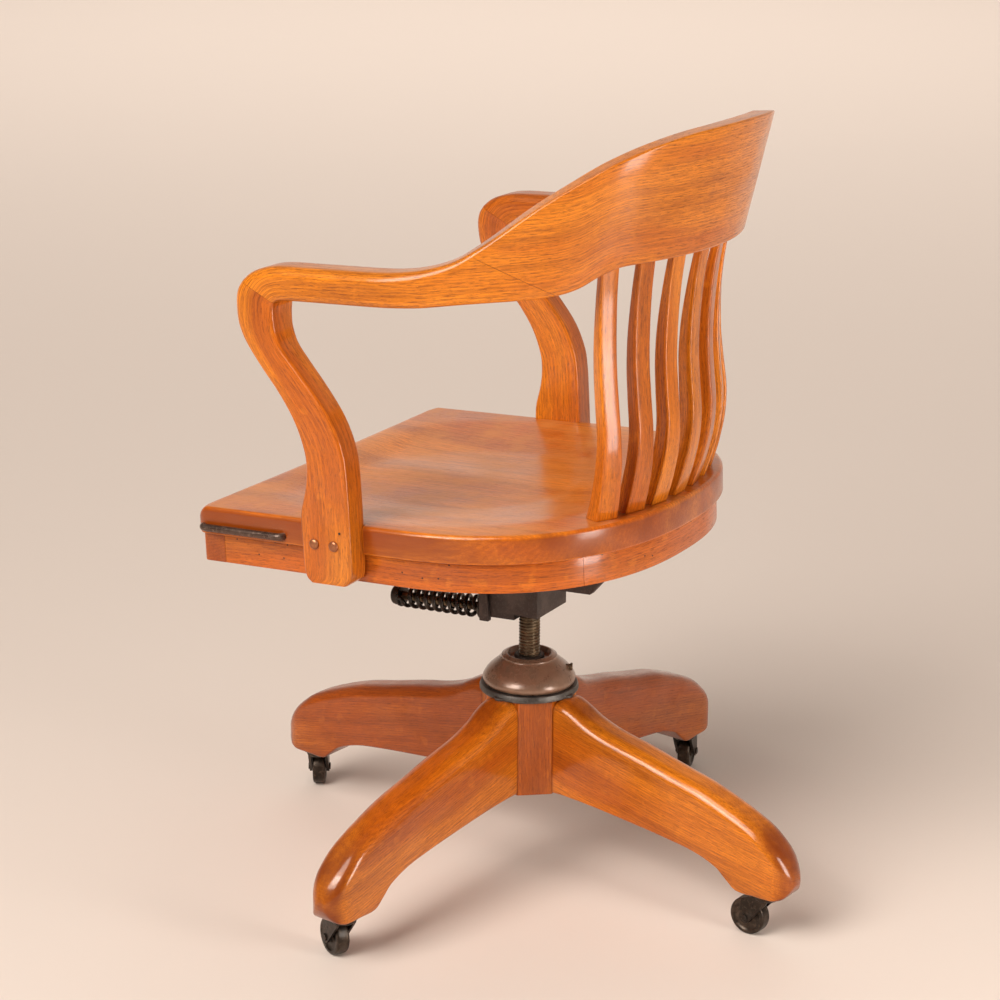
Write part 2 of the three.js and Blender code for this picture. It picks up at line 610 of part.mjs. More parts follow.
const cheekTop = HORN_TOP_Z - HORN_TOP_THICK / 2;
const cheekOutline = [
  [-HORN_TOP_RADIUS * HORN_BACK_SHARE, cheekTop],
  [-HORN_TOP_RADIUS * HORN_WAIST_SHARE, HORN_LOW_Z - HORN_EYE * HORN_WAIST_SHARE],
  ...arc(TRAIL, WHEEL_RADIUS, HORN_EYE, EYE_FROM, EYE_TO, 5),
  [TRAIL + HORN_EYE * HORN_FRONT_SHARE, cheekTop - HORN_TOP_THICK],
  [TRAIL * HORN_FRONT_SHARE, cheekTop],
];
const cheek = (y0, y1) => solid(plateY(cheekOutline, y0, y1));
const axleReach = cheekOut + AXLE_HEAD;
const hornSolid = solid(rod(PINTLE_RADIUS, HORN_LOW_Z + HORN_TOP_THICK / 2, pintleTop, 12))
  .add(solid(turned([
    [0, HORN_LOW_Z], [HORN_TOP_RADIUS - HORN_CHEEK / 2, HORN_LOW_Z],
    [HORN_TOP_RADIUS, HORN_LOW_Z + HORN_CHEEK / 2], [HORN_TOP_RADIUS, HORN_TOP_Z], [0, HORN_TOP_Z],
  ], 14)))
  .add(cheek(cheekIn, cheekOut))
  .add(cheek(-cheekOut, -cheekIn))
  .add(solid(rodY(AXLE_RADIUS, -cheekOut, cheekOut, TRAIL, WHEEL_RADIUS, 12)))
  .add(solid(rodY(AXLE_HEAD_RADIUS, cheekOut - AXLE_HEAD, axleReach, TRAIL, WHEEL_RADIUS, 12)))
  .add(solid(rodY(AXLE_HEAD_RADIUS, -axleReach, AXLE_HEAD - cheekOut, TRAIL, WHEEL_RADIUS, 12)));

const halfWheel = WHEEL_WIDTH / 2;
const wheelRimIn = WHEEL_RADIUS - WHEEL_RIM;
const wheelProfile = (side) => [
  [AXLE_RADIUS + GAP, side * halfWheel],
  [WHEEL_HUB_RADIUS, side * halfWheel],
  [(WHEEL_HUB_RADIUS + wheelRimIn) / 2, side * (halfWheel - WHEEL_DISH)],
  [wheelRimIn + WHEEL_DISH / 2, side * halfWheel],
  [WHEEL_RADIUS - WHEEL_CROWN, side * halfWheel],
  [WHEEL_RADIUS, side * (halfWheel - WHEEL_CROWN)],
];
const wheel = turned([
  ...wheelProfile(-1), ...wheelProfile(1).reverse(), wheelProfile(-1)[0],
], 20).rotateX(-Math.PI / 2).translate(TRAIL, 0, WHEEL_RADIUS);

const casterSpots = [];
legTurns.forEach((turn, i) => {
  const spot = heading(turn).multiplyScalar(STEM_RADIUS);
  // the horn is drawn trailing along +X
  const aim = (TRAIL_TURNS[i] - 90) * DEG;
  add(`caster_plate_${i + 1}`, casterPlate.clone().translate(spot.x, spot.y, 0), IRON);
  add(`caster_horn_${i + 1}`, shape(hornSolid).rotateZ(aim).translate(spot.x, spot.y, 0), IRON);
  add(`caster_wheel_${i + 1}`, wheel.clone().rotateZ(aim).translate(spot.x, spot.y, 0), IRON);
  casterSpots.push({ spot, aim });
});

// dome, collar, set screw, spindle
const SPINDLE_TOP_Z = YOKE_BOTTOM_Z + SPINDLE_SEAT;
const domeBore = SPINDLE_RADIUS + GAP;
// share of the radius, share of the height
const DOME_SHARES = [
  [0.945, 0], [0.985, 0.05], [1, 0.2], [0.95, 0.345], [0.875, 0.49], [0.775, 0.63],
  [0.668, 0.774], [0.59, 0.885], [0.575, 0.93], [0.52, 0.985], [0.48, 1],
];
const domeFloor = DOME_TOP_Z - DOME_RECESS;
const dome = solid(turned([
  [domeBore, JOURNAL_LOW_Z], [DOME_JOURNAL_RADIUS, JOURNAL_LOW_Z], [DOME_JOURNAL_RADIUS, DOME_LOW_Z],
  ...DOME_SHARES.map(([r, z]) => [r * DOME_RADIUS, DOME_LOW_Z + z * DOME_HEIGHT]),
  [COLLAR_RADIUS + DOME_RECESS, domeFloor], [domeBore, domeFloor], [domeBore, JOURNAL_LOW_Z],
], 28));
const screwZ = DOME_LOW_Z + SET_SCREW_RISE;
const screwOut = DOME_RADIUS * SET_SCREW_OUT_SHARE;
const screwIn = screwOut - SET_SCREW_LENGTH;
const screwHole = rodX(SET_SCREW_RADIUS + GAP, screwIn - GAP, screwOut + DOME_RADIUS, 0, screwZ, 14)
  .rotateZ((SET_SCREW_TURN - 90) * DEG);
const screwSeat = rodX(SET_SCREW_HEAD + GAP, screwOut - SET_SCREW_HEAD_HEIGHT, screwOut + DOME_RADIUS,
  0, screwZ, 14).rotateZ((SET_SCREW_TURN - 90) * DEG);
add('dome_nut', shape(dome.subtract(solid(screwHole)).subtract(solid(screwSeat))), BRONZE);

const setScrew = solid(rodX(SET_SCREW_RADIUS, screwIn, screwOut, 0, screwZ, 14))
  .add(solid(rodX(SET_SCREW_HEAD, screwOut - SET_SCREW_HEAD_HEIGHT + GAP, screwOut + GAP, 0, screwZ, 14)));
add('set_screw', shape(setScrew).rotateZ((SET_SCREW_TURN - 90) * DEG), STEEL);

const collarLow = domeFloor + GAP;
add('spindle_collar', turned([
  [domeBore, collarLow], [COLLAR_RADIUS, collarLow],
  [COLLAR_RADIUS, collarLow + COLLAR_HEIGHT * (1 - COLLAR_BEVEL_SHARE)],
  [COLLAR_RADIUS - COLLAR_HEIGHT * COLLAR_BEVEL_SHARE, collarLow + COLLAR_HEIGHT],
  [domeBore, collarLow + COLLAR_HEIGHT], [domeBore, collarLow],
], 24), IRON);

// a screw thread: one strip wound round the core, closed by a fan at each end
function thread(low, turns, pitch, outer, depth) {
  const steps = 8;
  const count = turns * steps;
  const positions = [];
  const place = (n, radius, lift) => {
    const a = n / steps * TURN;
    positions.push(radius * Math.cos(a), radius * Math.sin(a), low + pitch * (n / steps + lift));
  };
  for (let n = 0; n <= count + steps; n += 1) place(n, outer - depth, 0);
  for (let n = 0; n <= count; n += 1) place(n, outer, 1 / 2);
  const root = (n) => n;
  const crest = (n) => count + steps + 1 + n;
  const foot = positions.length / 3;
  positions.push(0, 0, low);
  positions.push(0, 0, low + pitch * (turns + 1));
  const index = [];
  for (let n = 0; n < count; n += 1) {
    index.push(root(n), root(n + 1), crest(n + 1), root(n), crest(n + 1), crest(n));
    index.push(crest(n), crest(n + 1), root(n + 1 + steps));
    index.push(crest(n), root(n + 1 + steps), root(n + steps));
  }
  for (let n = 0; n < steps; n += 1) index.push(foot, root(n + 1), root(n));
  index.push(foot, crest(0), root(steps), foot, root(0), crest(0));
  for (let n = 0; n < steps; n += 1) index.push(foot + 1, root(count + n), root(count + n + 1));
  index.push(foot + 1, crest(count), root(count), foot + 1, root(count + steps), crest(count));
  const g = new THREE.BufferGeometry();
  g.setAttribute('position', new THREE.Float32BufferAttribute(positions, 3));
  g.setIndex(index);
  return outward(g);
}

const threadTop = YOKE_BOTTOM_Z - THREAD_TOP_DROP;
const threadTurns = Math.round((threadTop - HUB_BOTTOM_Z - SPINDLE_FOOT - THREAD_FOOT) / THREAD_PITCH) - 1;
const threadLow = threadTop - THREAD_PITCH * (threadTurns + 1);
const spindleLow = HUB_BOTTOM_Z + SPINDLE_FOOT;
const coreRadius = SPINDLE_RADIUS - THREAD_DEPTH;
const spindle = solid(thread(threadLow, threadTurns, THREAD_PITCH, SPINDLE_RADIUS, THREAD_DEPTH))
  .add(solid(rod(coreRadius - GAP, spindleLow, threadLow + THREAD_PITCH * 3 / 2, 16)))
  .add(solid(rod(SPINDLE_RADIUS, threadTop - THREAD_PITCH / 2, SPINDLE_TOP_Z, 20)));
add('spindle', shape(spindle), STEEL);

// yoke
const cheekInner = YOKE_HALF - YOKE_CHEEK;
const yokeFloor = YOKE_BOTTOM_Z + YOKE_HEIGHT;
const yokeWeb = block(-YOKE_HALF, YOKE_HALF, -YOKE_FRONT, YOKE_REAR, YOKE_BOTTOM_Z, yokeFloor);
const cheekSide = [
  [YOKE_REAR, YOKE_BOTTOM_Z], [YOKE_REAR, yokeFloor + YOKE_LEAN],
  ...arc(SHAFT_Y, SHAFT_Z, BOSS_RADIUS, 70, 225, 8),
  [-YOKE_FRONT - YOKE_LEAN, yokeFloor - YOKE_LEAN],
  [-YOKE_FRONT, YOKE_BOTTOM_Z + YOKE_LEAN], [-YOKE_FRONT, YOKE_BOTTOM_Z],
];
const noseFront = FORK_REAR_Y + GAP;
const noseRear = -SPINDLE_RADIUS - OVERRUN * 2;
const nose = leaned(block(-NOSE_HALF, NOSE_HALF, noseFront, noseRear,
  BOLT_Z - NOSE_DROP, BOLT_Z + NOSE_RISE));
const boltBore = leaned(rodY(BOLT_RADIUS + GAP, noseFront - OVERRUN, noseFront + BOLT_SEAT + GAP, 0, BOLT_Z));
const yoke = solid(yokeWeb)
  .add(solid(plateX(cheekSide, cheekInner, YOKE_HALF)))
  .add(solid(plateX(cheekSide, -YOKE_HALF, -cheekInner)))
  .add(solid(nose))
  .subtract(solid(boltBore))
  .subtract(solid(rod(SPINDLE_RADIUS + GAP, YOKE_BOTTOM_Z - OVERRUN, SPINDLE_TOP_Z + GAP, 24)))
  .subtract(solid(rodX(SHAFT_RADIUS + GAP, -YOKE_HALF - OVERRUN, YOKE_HALF + OVERRUN, SHAFT_Y, SHAFT_Z)));
add('yoke', shape(yoke), IRON);

// spring bolt, spring, washer, cap, nut
const forkFront = FORK_REAR_Y - FORK_THICK;
const washerRear = forkFront - GAP;
const springRear = washerRear - WASHER_THICK - GAP;
const springFront = springRear - SPRING_LENGTH;
const capRear = springFront - GAP;
const nutRear = capRear - CAP_THICK - GAP;
const boltFront = nutRear - NUT_LENGTH - GAP;
add('spring_bolt', leaned(rodY(BOLT_RADIUS, boltFront, noseFront + BOLT_SEAT, 0, BOLT_Z, 18)), STEEL);

const ringOn = (y0, y1, outer) => solid(rodY(outer, y0, y1, 0, BOLT_Z, 18))
  .subtract(solid(rodY(BOLT_RADIUS + GAP, y0 - OVERRUN, y1 + OVERRUN, 0, BOLT_Z, 14)));
add('spring_washer', leaned(shape(ringOn(washerRear - WASHER_THICK, washerRear, WASHER_RADIUS))), IRON);
add('spring_cap', leaned(shape(ringOn(capRear - CAP_THICK, capRear, CAP_RADIUS))), IRON);
const nutFront = nutRear - NUT_LENGTH;
const nutOutline = arc(NUT_RADIUS - NUT_ROUND, NUT_ROUND, NUT_ROUND, 0, -90, 3)
  .map(([r, y]) => [r, nutFront + y]);
const nut = turned([
  [BOLT_RADIUS + GAP, nutRear], [NUT_RADIUS, nutRear], ...nutOutline,
  [BOLT_RADIUS + GAP, nutFront], [BOLT_RADIUS + GAP, nutRear],
], 18).rotateX(-Math.PI / 2).translate(0, 0, BOLT_Z);
add('spring_nut', leaned(nut), IRON);

// one wire wound round the bolt; its ends run straight, square to the washer and the cap
function springWire() {
  const sides = 5;
  const steps = 8;
  const straight = WIRE_RADIUS * 2;
  const wound = SPRING_LENGTH - 2 * straight;
  const count = SPRING_CURLS * steps;
  const middle = [];
  const bend = WIRE_RADIUS;
  middle.push(new THREE.Vector3(SPRING_RADIUS, springRear, 0));
  middle.push(new THREE.Vector3(SPRING_RADIUS, springRear - straight + bend, 0));
  for (let n = 1; n < count; n += 1) {
    const a = n / steps * TURN;
    middle.push(new THREE.Vector3(SPRING_RADIUS * Math.cos(a),
      springRear - straight - wound * n / count, SPRING_RADIUS * Math.sin(a)));
  }
  middle.push(new THREE.Vector3(SPRING_RADIUS, springFront + straight - bend, 0));
  middle.push(new THREE.Vector3(SPRING_RADIUS, springFront, 0));
  const positions = [];
  const axis = new THREE.Vector3(0, -1, 0);
  middle.forEach((p, i) => {
    const before = middle[Math.max(i - 1, 0)];
    const after = middle[Math.min(i + 1, middle.length - 1)];
    let along = after.clone().sub(before).normalize();
    if (i === 0 || i === middle.length - 1) along = axis.clone();
    const out = new THREE.Vector3(p.x, 0, p.z).normalize();
    out.addScaledVector(along, -out.dot(along)).normalize();
    const side = new THREE.Vector3().crossVectors(along, out);
    for (let k = 0; k < sides; k += 1) {
      const a = k / sides * TURN;
      const q = p.clone().addScaledVector(out, WIRE_RADIUS * Math.cos(a))
        .addScaledVector(side, WIRE_RADIUS * Math.sin(a));
      positions.push(q.x, q.y, q.z + BOLT_Z);
    }
  });
  const index = [];
  for (let i = 0; i + 1 < middle.length; i += 1) {
    for (let k = 0; k < sides; k += 1) {
      const a = i * sides + k;
      const b = i * sides + (k + 1) % sides;
      index.push(a, b, b + sides, a, b + sides, a + sides);
    }
  }
  const end = (middle.length - 1) * sides;
  for (let k = 1; k + 1 < sides; k += 1) {
    index.push(0, k + 1, k);
    index.push(end, end + k, end + k + 1);
  }
  const g = new THREE.BufferGeometry();
  g.setAttribute('position', new THREE.Float32BufferAttribute(positions, 3));
  g.setIndex(index);
  // least gap between wires, on the middle line, a turn or more apart
  let least = Infinity;
  for (let i = 0; i < middle.length; i += 1) {
    for (let j = i + steps - 1; j < middle.length; j += 1) {
      const reach = middle[j].distanceTo(middle[Math.min(j + 1, middle.length - 1)]);
      const near = middle[i].distanceTo(middle[j]) - 2 * WIRE_RADIUS;
      if (reach > 0 && near < least) least = near;
    }
  }
  console.log(`tilt_spring: least gap to itself ${least.toFixed(2)} mm`);
  return outward(g);
}
add('tilt_spring', leaned(springWire()), IRON);

// seat irons, fork, tilt shaft
const ironTop = IRON_TOP_Z;
const ironFlangeLow = ironTop - IRON_FLANGE_THICK;
const ironLow = ironTop - IRON_DEEP;
const ironRun = IRON_REAR_Y - IRON_FRONT_Y;
const ironSide = [
  [IRON_FRONT_Y, ironTop], [IRON_FRONT_Y, ironTop - IRON_FLANGE_THICK * 2],
  [IRON_FRONT_Y + ironRun * IRON_FRONT_SHARE, ironTop - IRON_DEEP * IRON_FRONT_DEPTH_SHARE],
  ...arc(SHAFT_Y, SHAFT_Z, BOSS_RADIUS, 180, IRON_BOSS_TO, 6),
  [SHAFT_Y + BOSS_RADIUS * IRON_BOSS_SHARE, ironLow],
  [IRON_REAR_Y - ironRun * IRON_REAR_SHARE, ironLow],
  [IRON_REAR_Y - ironRun * IRON_HEEL_SHARE, ironLow + IRON_DEEP * IRON_HEEL_DEPTH_SHARE],
  [IRON_REAR_Y, ironTop - IRON_FLANGE_THICK * IRON_TIP_SHARE], [IRON_REAR_Y, ironTop],
];
const ironScrewX = IRON_X + IRON_WEB + (IRON_FLANGE - IRON_WEB) / 2;
const iron = solid(plateX(ironSide, IRON_X, IRON_X + IRON_WEB))
  .add(solid(block(IRON_X, IRON_X + IRON_FLANGE, IRON_FRONT_Y, IRON_REAR_Y, ironFlangeLow, ironTop)))
  .add(solid(rodX(BOSS_RADIUS, YOKE_HALF + GAP, IRON_X + OVERRUN, SHAFT_Y, SHAFT_Z, 24)))
  .subtract(solid(rodX(SHAFT_RADIUS + GAP, 0, IRON_X * 2, SHAFT_Y, SHAFT_Z)))
  .subtract(solid(rod(IRON_SCREW_RADIUS + GAP, ironFlangeLow - OVERRUN, ironTop + OVERRUN, 12)
    .translate(ironScrewX, REAR_BATTEN_Y, 0)));
add('seat_iron_left', leaned(shape(iron)), IRON);
add('seat_iron_right', leaned(mirrored(shape(iron))), IRON);

const ironScrew = solid(rod(IRON_SCREW_RADIUS, ironFlangeLow - IRON_SCREW_HEAD_HEIGHT / 2,
  ironTop + IRON_SCREW_GRIP, 12))
  .add(solid(turned([
    [0, ironFlangeLow - GAP - IRON_SCREW_HEAD_HEIGHT],
    [IRON_SCREW_HEAD * SCREW_CROWN_SHARE, ironFlangeLow - GAP - IRON_SCREW_HEAD_HEIGHT],
    [IRON_SCREW_HEAD, ironFlangeLow - GAP - IRON_SCREW_HEAD_HEIGHT * (1 - SCREW_CROWN_SHARE)],
    [IRON_SCREW_HEAD, ironFlangeLow - GAP], [0, ironFlangeLow - GAP],
  ], 12)));
[1, -1].forEach((side) => {
  const name = side > 0 ? 'iron_screw_left' : 'iron_screw_right';
  add(name, leaned(shape(ironScrew).translate(side * ironScrewX, REAR_BATTEN_Y, 0)), STEEL);
});

const slotHalf = BOLT_RADIUS + FORK_SLOT_SIDE;
const slotTop = BOLT_Z + BOLT_RADIUS + FORK_SLOT_RISE;
const forkLow = BOLT_Z - FORK_DROP;
const barHalf = IRON_X - GAP;
const forkOutline = [
  [-FORK_HALF, forkLow], [-slotHalf, forkLow], [-slotHalf, slotTop - slotHalf],
  ...arc(0, slotTop - slotHalf, slotHalf, 180, 0, 6),
  [slotHalf, forkLow], [FORK_HALF, forkLow],
  [FORK_HALF, CROSS_BAR_Z], [barHalf, CROSS_BAR_Z],
  [barHalf, CROSS_BAR_Z + CROSS_BAR_HEIGHT], [-barHalf, CROSS_BAR_Z + CROSS_BAR_HEIGHT],
  [-barHalf, CROSS_BAR_Z], [-FORK_HALF, CROSS_BAR_Z],
];
add('seat_iron_fork', leaned(plateY(forkOutline, forkFront, FORK_REAR_Y)), IRON);
const shaftHalf = IRON_X + IRON_WEB + SHAFT_SHOW;
add('tilt_shaft', rodX(SHAFT_RADIUS, -shaftHalf, shaftHalf, SHAFT_Y, SHAFT_Z, 22), STEEL);

// seat board and its frame
const bowDepth = SEAT_BACK_Y - PLAN_Y;
// a point of the back curve and its outward normal, degrees round from the side
function backEdge(degrees) {
  const a = degrees * DEG;
  const c = Math.cos(a);
  const s = Math.sin(a);
  const e = 2 / BACK_SQUARE;
  const x = SEAT_HALF * Math.sign(c) * Math.abs(c) ** e;
  const y = bowDepth * Math.abs(s) ** e;
  const n = new THREE.Vector2(Math.sign(x) * Math.abs(x / SEAT_HALF) ** (BACK_SQUARE - 1) / SEAT_HALF,
    (y / bowDepth) ** (BACK_SQUARE - 1) / bowDepth).normalize();
  return { x, y: PLAN_Y + y, n };
}

// the board's outline, from the front middle round to the front middle
function boardOutline() {
  const half = [];
  const frontSteps = 5;
  for (let i = 0; i <= frontSteps; i += 1) {
    half.push([(SEAT_HALF - CORNER_RADIUS) * i / frontSteps, SEAT_FRONT_Y]);
  }
  half.push(...arc(SEAT_HALF - CORNER_RADIUS, SEAT_FRONT_Y + CORNER_RADIUS, CORNER_RADIUS, -60, 0, 2));
  const sideSteps = 4;
  const sideStart = SEAT_FRONT_Y + CORNER_RADIUS;
  for (let i = 1; i < sideSteps; i += 1) {
    half.push([SEAT_HALF, sideStart + (PLAN_Y - sideStart) * i / sideSteps]);
  }
  const backSteps = 14;
  for (let i = 0; i <= backSteps; i += 1) {
    const p = backEdge(90 * i / backSteps);
    half.push([p.x, p.y]);
  }
  const other = half.slice(1, -1).reverse().map(([x, y]) => [-x, y]);
  return [...half, ...other];
}

const boardLow = SEAT_TOP_Z - BOARD_THICK;
const dishBack = SEAT_BACK_Y - DISH_RIM;
const dishFront = SEAT_FRONT_Y + FRONT_ROLL;
const dishHalf = SEAT_HALF - FRONT_ROLL;
function dish(x, y) {
  const middle = (dishBack + dishFront) / 2;
  const u = x / dishHalf;
  const v = (y - middle) / (dishBack - middle);
  const d = Math.hypot(u, v > 0 ? v : v * DISH_FRONT_SHARE);
  const bowl = Math.max(0, 1 - d * d) ** DISH_POWER;
  const forward = Math.max(0, Math.min(1, 1 / 2 - v));
  const ridge = Math.exp(-((x / POMMEL_HALF) ** 2)) * forward * Math.max(0, 1 - d);
  return DISH_DEPTH * Math.min(1, bowl * DISH_FLAT_SHARE) - POMMEL * ridge;
}

function board() {
  const outline = boardOutline();
  const count = outline.length;
  const centre = new THREE.Vector2(0, PLAN_Y);
  const positions = [];
  const ring = (inset, height, surface) => {
    outline.forEach(([x, y]) => {
      const p = new THREE.Vector2(x, y);
      const front = y < SEAT_FRONT_Y + CORNER_RADIUS ? 1 : 0;
      const side = Math.max(0, Math.min(1, (SEAT_FRONT_Y + CORNER_RADIUS - y) / CORNER_RADIUS));
      const roll = EDGE_ROUND + (FRONT_ROLL - EDGE_ROUND) * (front ? side : 0);
      const from = p.clone().sub(centre);
      const reach = from.length();
      const pull = typeof inset === 'function' ? inset(roll) : reach * inset;
      const q = centre.clone().addScaledVector(from, (reach - pull) / reach);
      const z = surface ? SEAT_TOP_Z - dish(q.x, q.y) : height(roll);
      positions.push(q.x, q.y, z);
    });
  };
  const rollOf = (r) => Math.min(r, BOARD_THICK * ROLL_LIMIT_SHARE);
  ring(() => BOARD_LOWER_EDGE, () => boardLow, false);
  ring(() => 0, () => boardLow + BOARD_LOWER_EDGE, false);
  EDGE_SHARES.forEach(([along, down]) => {
    ring((r) => r * along, (r) => SEAT_TOP_Z - rollOf(r) * down, false);
  });
  DISH_RING_SHARES.forEach((share) => ring(share, null, true));
  const rings = 2 + EDGE_SHARES.length + DISH_RING_SHARES.length;
  const index = [];
  for (let i = 0; i + 1 < rings; i += 1) {
    for (let j = 0; j < count; j += 1) {
      const k = (j + 1) % count;
      index.push(i * count + j, i * count + k, (i + 1) * count + k);
      index.push(i * count + j, (i + 1) * count + k, (i + 1) * count + j);
    }
  }
  const low = positions.length / 3;
  positions.push(centre.x, centre.y, boardLow);
  positions.push(centre.x, centre.y, SEAT_TOP_Z - dish(centre.x, centre.y));
  for (let j = 0; j < count; j += 1) {
    const k = (j + 1) % count;
    index.push(low, k, j);
    index.push(low + 1, (rings - 1) * count + j, (rings - 1) * count + k);
  }
  const g = new THREE.BufferGeometry();
  g.setAttribute('position', new THREE.Float32BufferAttribute(positions, 3));
  g.setIndex(index);
  return outward(g);
}

const railOut = SEAT_HALF - RAIL_INSET;
const postIn = railOut + GAP;
const notchRear = POST_REAR_Y + GAP;
const notchFront = POST_REAR_Y - POST_DEPTH - GAP * 4;
const notch = (side) => solid(block(
  Math.min(side * (postIn - GAP), side * (SEAT_HALF + OVERRUN)),
  Math.max(side * (postIn - GAP), side * (SEAT_HALF + OVERRUN)),
  notchFront, notchRear, boardLow - OVERRUN, SEAT_TOP_Z + OVERRUN));
const postScrewReach = postIn - POST_SCREW_GRIP;
let boardSolid = solid(board()).subtract(notch(1)).subtract(notch(-1));
POST_SCREW_YS.forEach((y) => {
  [1, -1].forEach((side) => {
    boardSolid = boardSolid.subtract(solid(rodX(POST_SCREW_RADIUS + GAP,
      Math.min(side * (postScrewReach - GAP), side * (SEAT_HALF + OVERRUN)),
      Math.max(side * (postScrewReach - GAP), side * (SEAT_HALF + OVERRUN)), y, POST_SCREW_Z, 12)));
  });
});

// edge rod along the board's left edge at the front, both ends turned into the wood
const rodX0 = SEAT_HALF + ROD_STAND + ROD_RADIUS;
const rodEndX = SEAT_HALF - ROD_GRIP;
const rodCorners = [
  [rodEndX, ROD_FRONT_Y], [rodX0, ROD_FRONT_Y], [rodX0, ROD_REAR_Y], [rodEndX, ROD_REAR_Y],
].map(([x, y]) => new THREE.Vector3(x, y, ROD_Z));
const rodMiddle = [rodCorners[0]];
for (let i = 1; i + 1 < rodCorners.length; i += 1) {
  const c = rodCorners[i];
  const a = rodCorners[i - 1].clone().sub(c).normalize().multiplyScalar(ROD_BEND).add(c);
  const b = rodCorners[i + 1].clone().sub(c).normalize().multiplyScalar(ROD_BEND).add(c);
  rodMiddle.push(...new THREE.QuadraticBezierCurve3(a, c, b).getPoints(4));
}
rodMiddle.push(rodCorners[rodCorners.length - 1]);
function wire(points, radius, sides) {
  const stations = points.map((p, i) => {
    const before = points[Math.max(i - 1, 0)];
    const after = points[Math.min(i + 1, points.length - 1)];
    const along = after.clone().sub(before).normalize();
    const up = new THREE.Vector3(0, 0, 1);
    return { at: p, inward: new THREE.Vector3().crossVectors(along, up), upward: up,
      outline: arc(0, 0, radius, 0, 360 - 360 / sides, sides - 1) };
  });
  return skin(stations);
}
const rodRoom = [
  rodMiddle[0].clone().add(new THREE.Vector3(-GAP, 0, 0)),
  ...rodMiddle.slice(1, -1),
  rodMiddle[rodMiddle.length - 1].clone().add(new THREE.Vector3(-GAP, 0, 0)),
];
boardSolid = boardSolid.subtract(solid(wire(rodRoom, ROD_RADIUS + GAP * 2, 8)));
add('seat_board', leaned(shape(boardSolid)), OAK_BROWN);
add('edge_rod', leaned(wire(rodMiddle, ROD_RADIUS, 8)), IRON);

const railTop = RAIL_LOW_Z + RAIL_HEIGHT;
const frontRailFront = SEAT_FRONT_Y + FRONT_RAIL_INSET;
const frontRailBack = frontRailFront + FRONT_RAIL_THICK;
const railCornerX = railOut - RAIL_CORNER;
add('front_rail', leaned(plateZ([
  ...arc(railCornerX, frontRailFront + RAIL_CORNER, RAIL_CORNER, -90, 0, 3),
  [railOut, frontRailBack], [-railOut, frontRailBack],
  ...arc(-railCornerX, frontRailFront + RAIL_CORNER, RAIL_CORNER, 180, 270, 3),
], RAIL_LOW_Z, railTop)), OAK);

function band(points, thick) {
  const stations = points.map(({ x, y, n }) => ({
    at: new THREE.Vector3(x - n.x * RAIL_INSET, y - n.y * RAIL_INSET, RAIL_LOW_Z),
    inward: new THREE.Vector3(-n.x, -n.y, 0),
    upward: new THREE.Vector3(0, 0, 1),
    outline: section(thick, RAIL_HEIGHT, RAIL_EDGE, RAIL_EDGE, 1),
  }));
  return skin(stations);
}
const outX = new THREE.Vector2(1, 0);
const sidePoints = [
  { x: SEAT_HALF, y: frontRailBack + GAP, n: outX },
  { x: SEAT_HALF, y: PLAN_Y - BATTEN_WIDTH, n: outX },
  { x: SEAT_HALF, y: PLAN_Y, n: outX },
];
const sideSteps = 6;
for (let i = 1; i <= sideSteps; i += 1) sidePoints.push(backEdge(SIDE_RAIL_END * i / sideSteps));
const endPoint = sidePoints[sidePoints.length - 1];
const sideRail = solid(band(sidePoints, RAIL_THICK));
add('side_rail_left', leaned(shape(sideRail)), OAK);
add('side_rail_right', leaned(mirrored(shape(sideRail))), OAK);
const jointAngle = GAP / (SEAT_HALF - RAIL_INSET - RAIL_THICK) / DEG;
const backPoints = [];
const backSteps = 14;
const backStart = SIDE_RAIL_END + jointAngle * RAIL_JOINT_SHARE;
for (let i = 0; i <= backSteps; i += 1) {
  backPoints.push(backEdge(backStart + (180 - 2 * backStart) * i / backSteps));
}
add('back_rail', leaned(band(backPoints, RAIL_THICK)), OAK);

const insideOf = ({ x, y, n }) => [
  x - n.x * (RAIL_INSET + RAIL_THICK + GAP), y - n.y * (RAIL_INSET + RAIL_THICK + GAP)];
const insideHalf = sidePoints.map(insideOf);
const insideBack = backPoints.map(insideOf);
const insidePlan = solid(plateZ([
  ...insideHalf, ...insideBack, ...insideHalf.map(([x, y]) => [-x, y]).reverse(),
], RAIL_LOW_Z, railTop));
const batten = (y) => solid(block(-SEAT_HALF, SEAT_HALF, y - BATTEN_WIDTH / 2, y + BATTEN_WIDTH / 2,
  RAIL_LOW_Z, railTop)).intersect(insidePlan);
add('front_batten', leaned(shape(batten(FRONT_BATTEN_Y))), OAK);
const rearBatten = [1, -1].reduce((s, side) => s.subtract(solid(
  rod(IRON_SCREW_RADIUS + GAP, RAIL_LOW_Z - OVERRUN, ironTop + IRON_SCREW_GRIP + GAP, 12)
    .translate(side * ironScrewX, REAR_BATTEN_Y, 0))), batten(REAR_BATTEN_Y));
add('rear_batten', leaned(shape(rearBatten)), OAK);

// crest rail and arms
// degrees round the bow from the back, share of the way from arm height to crest height
const CREST_TOP_SHARES = [
  [0, 1], [9, 0.995], [18.7, 0.973], [28, 0.908], [36, 0.805], [43.6, 0.659],
  [51.4, 0.494], [59.7, 0.295], [65, 0.18], [70.2, 0.09], [78.5, 0.023], [90, 0],
];
const CREST_LOW_SHARES = [
  [0, 1], [28, 0.995], [33, 0.95], [37.5, 0.74], [42, 0.44], [47, 0.28],
  [54, 0.215], [62, 0.18], [69, 0.13], [78, 0.03], [90, 0],
];
const THICK_SHARES = [[0, 0], [42, 0], [60, 0.28], [75, 0.72], [90, 1]];
const LEAN_SHARES = [[0, 1], [30, 1], [50, 0.62], [66, 0.24], [80, 0], [90, 0]];

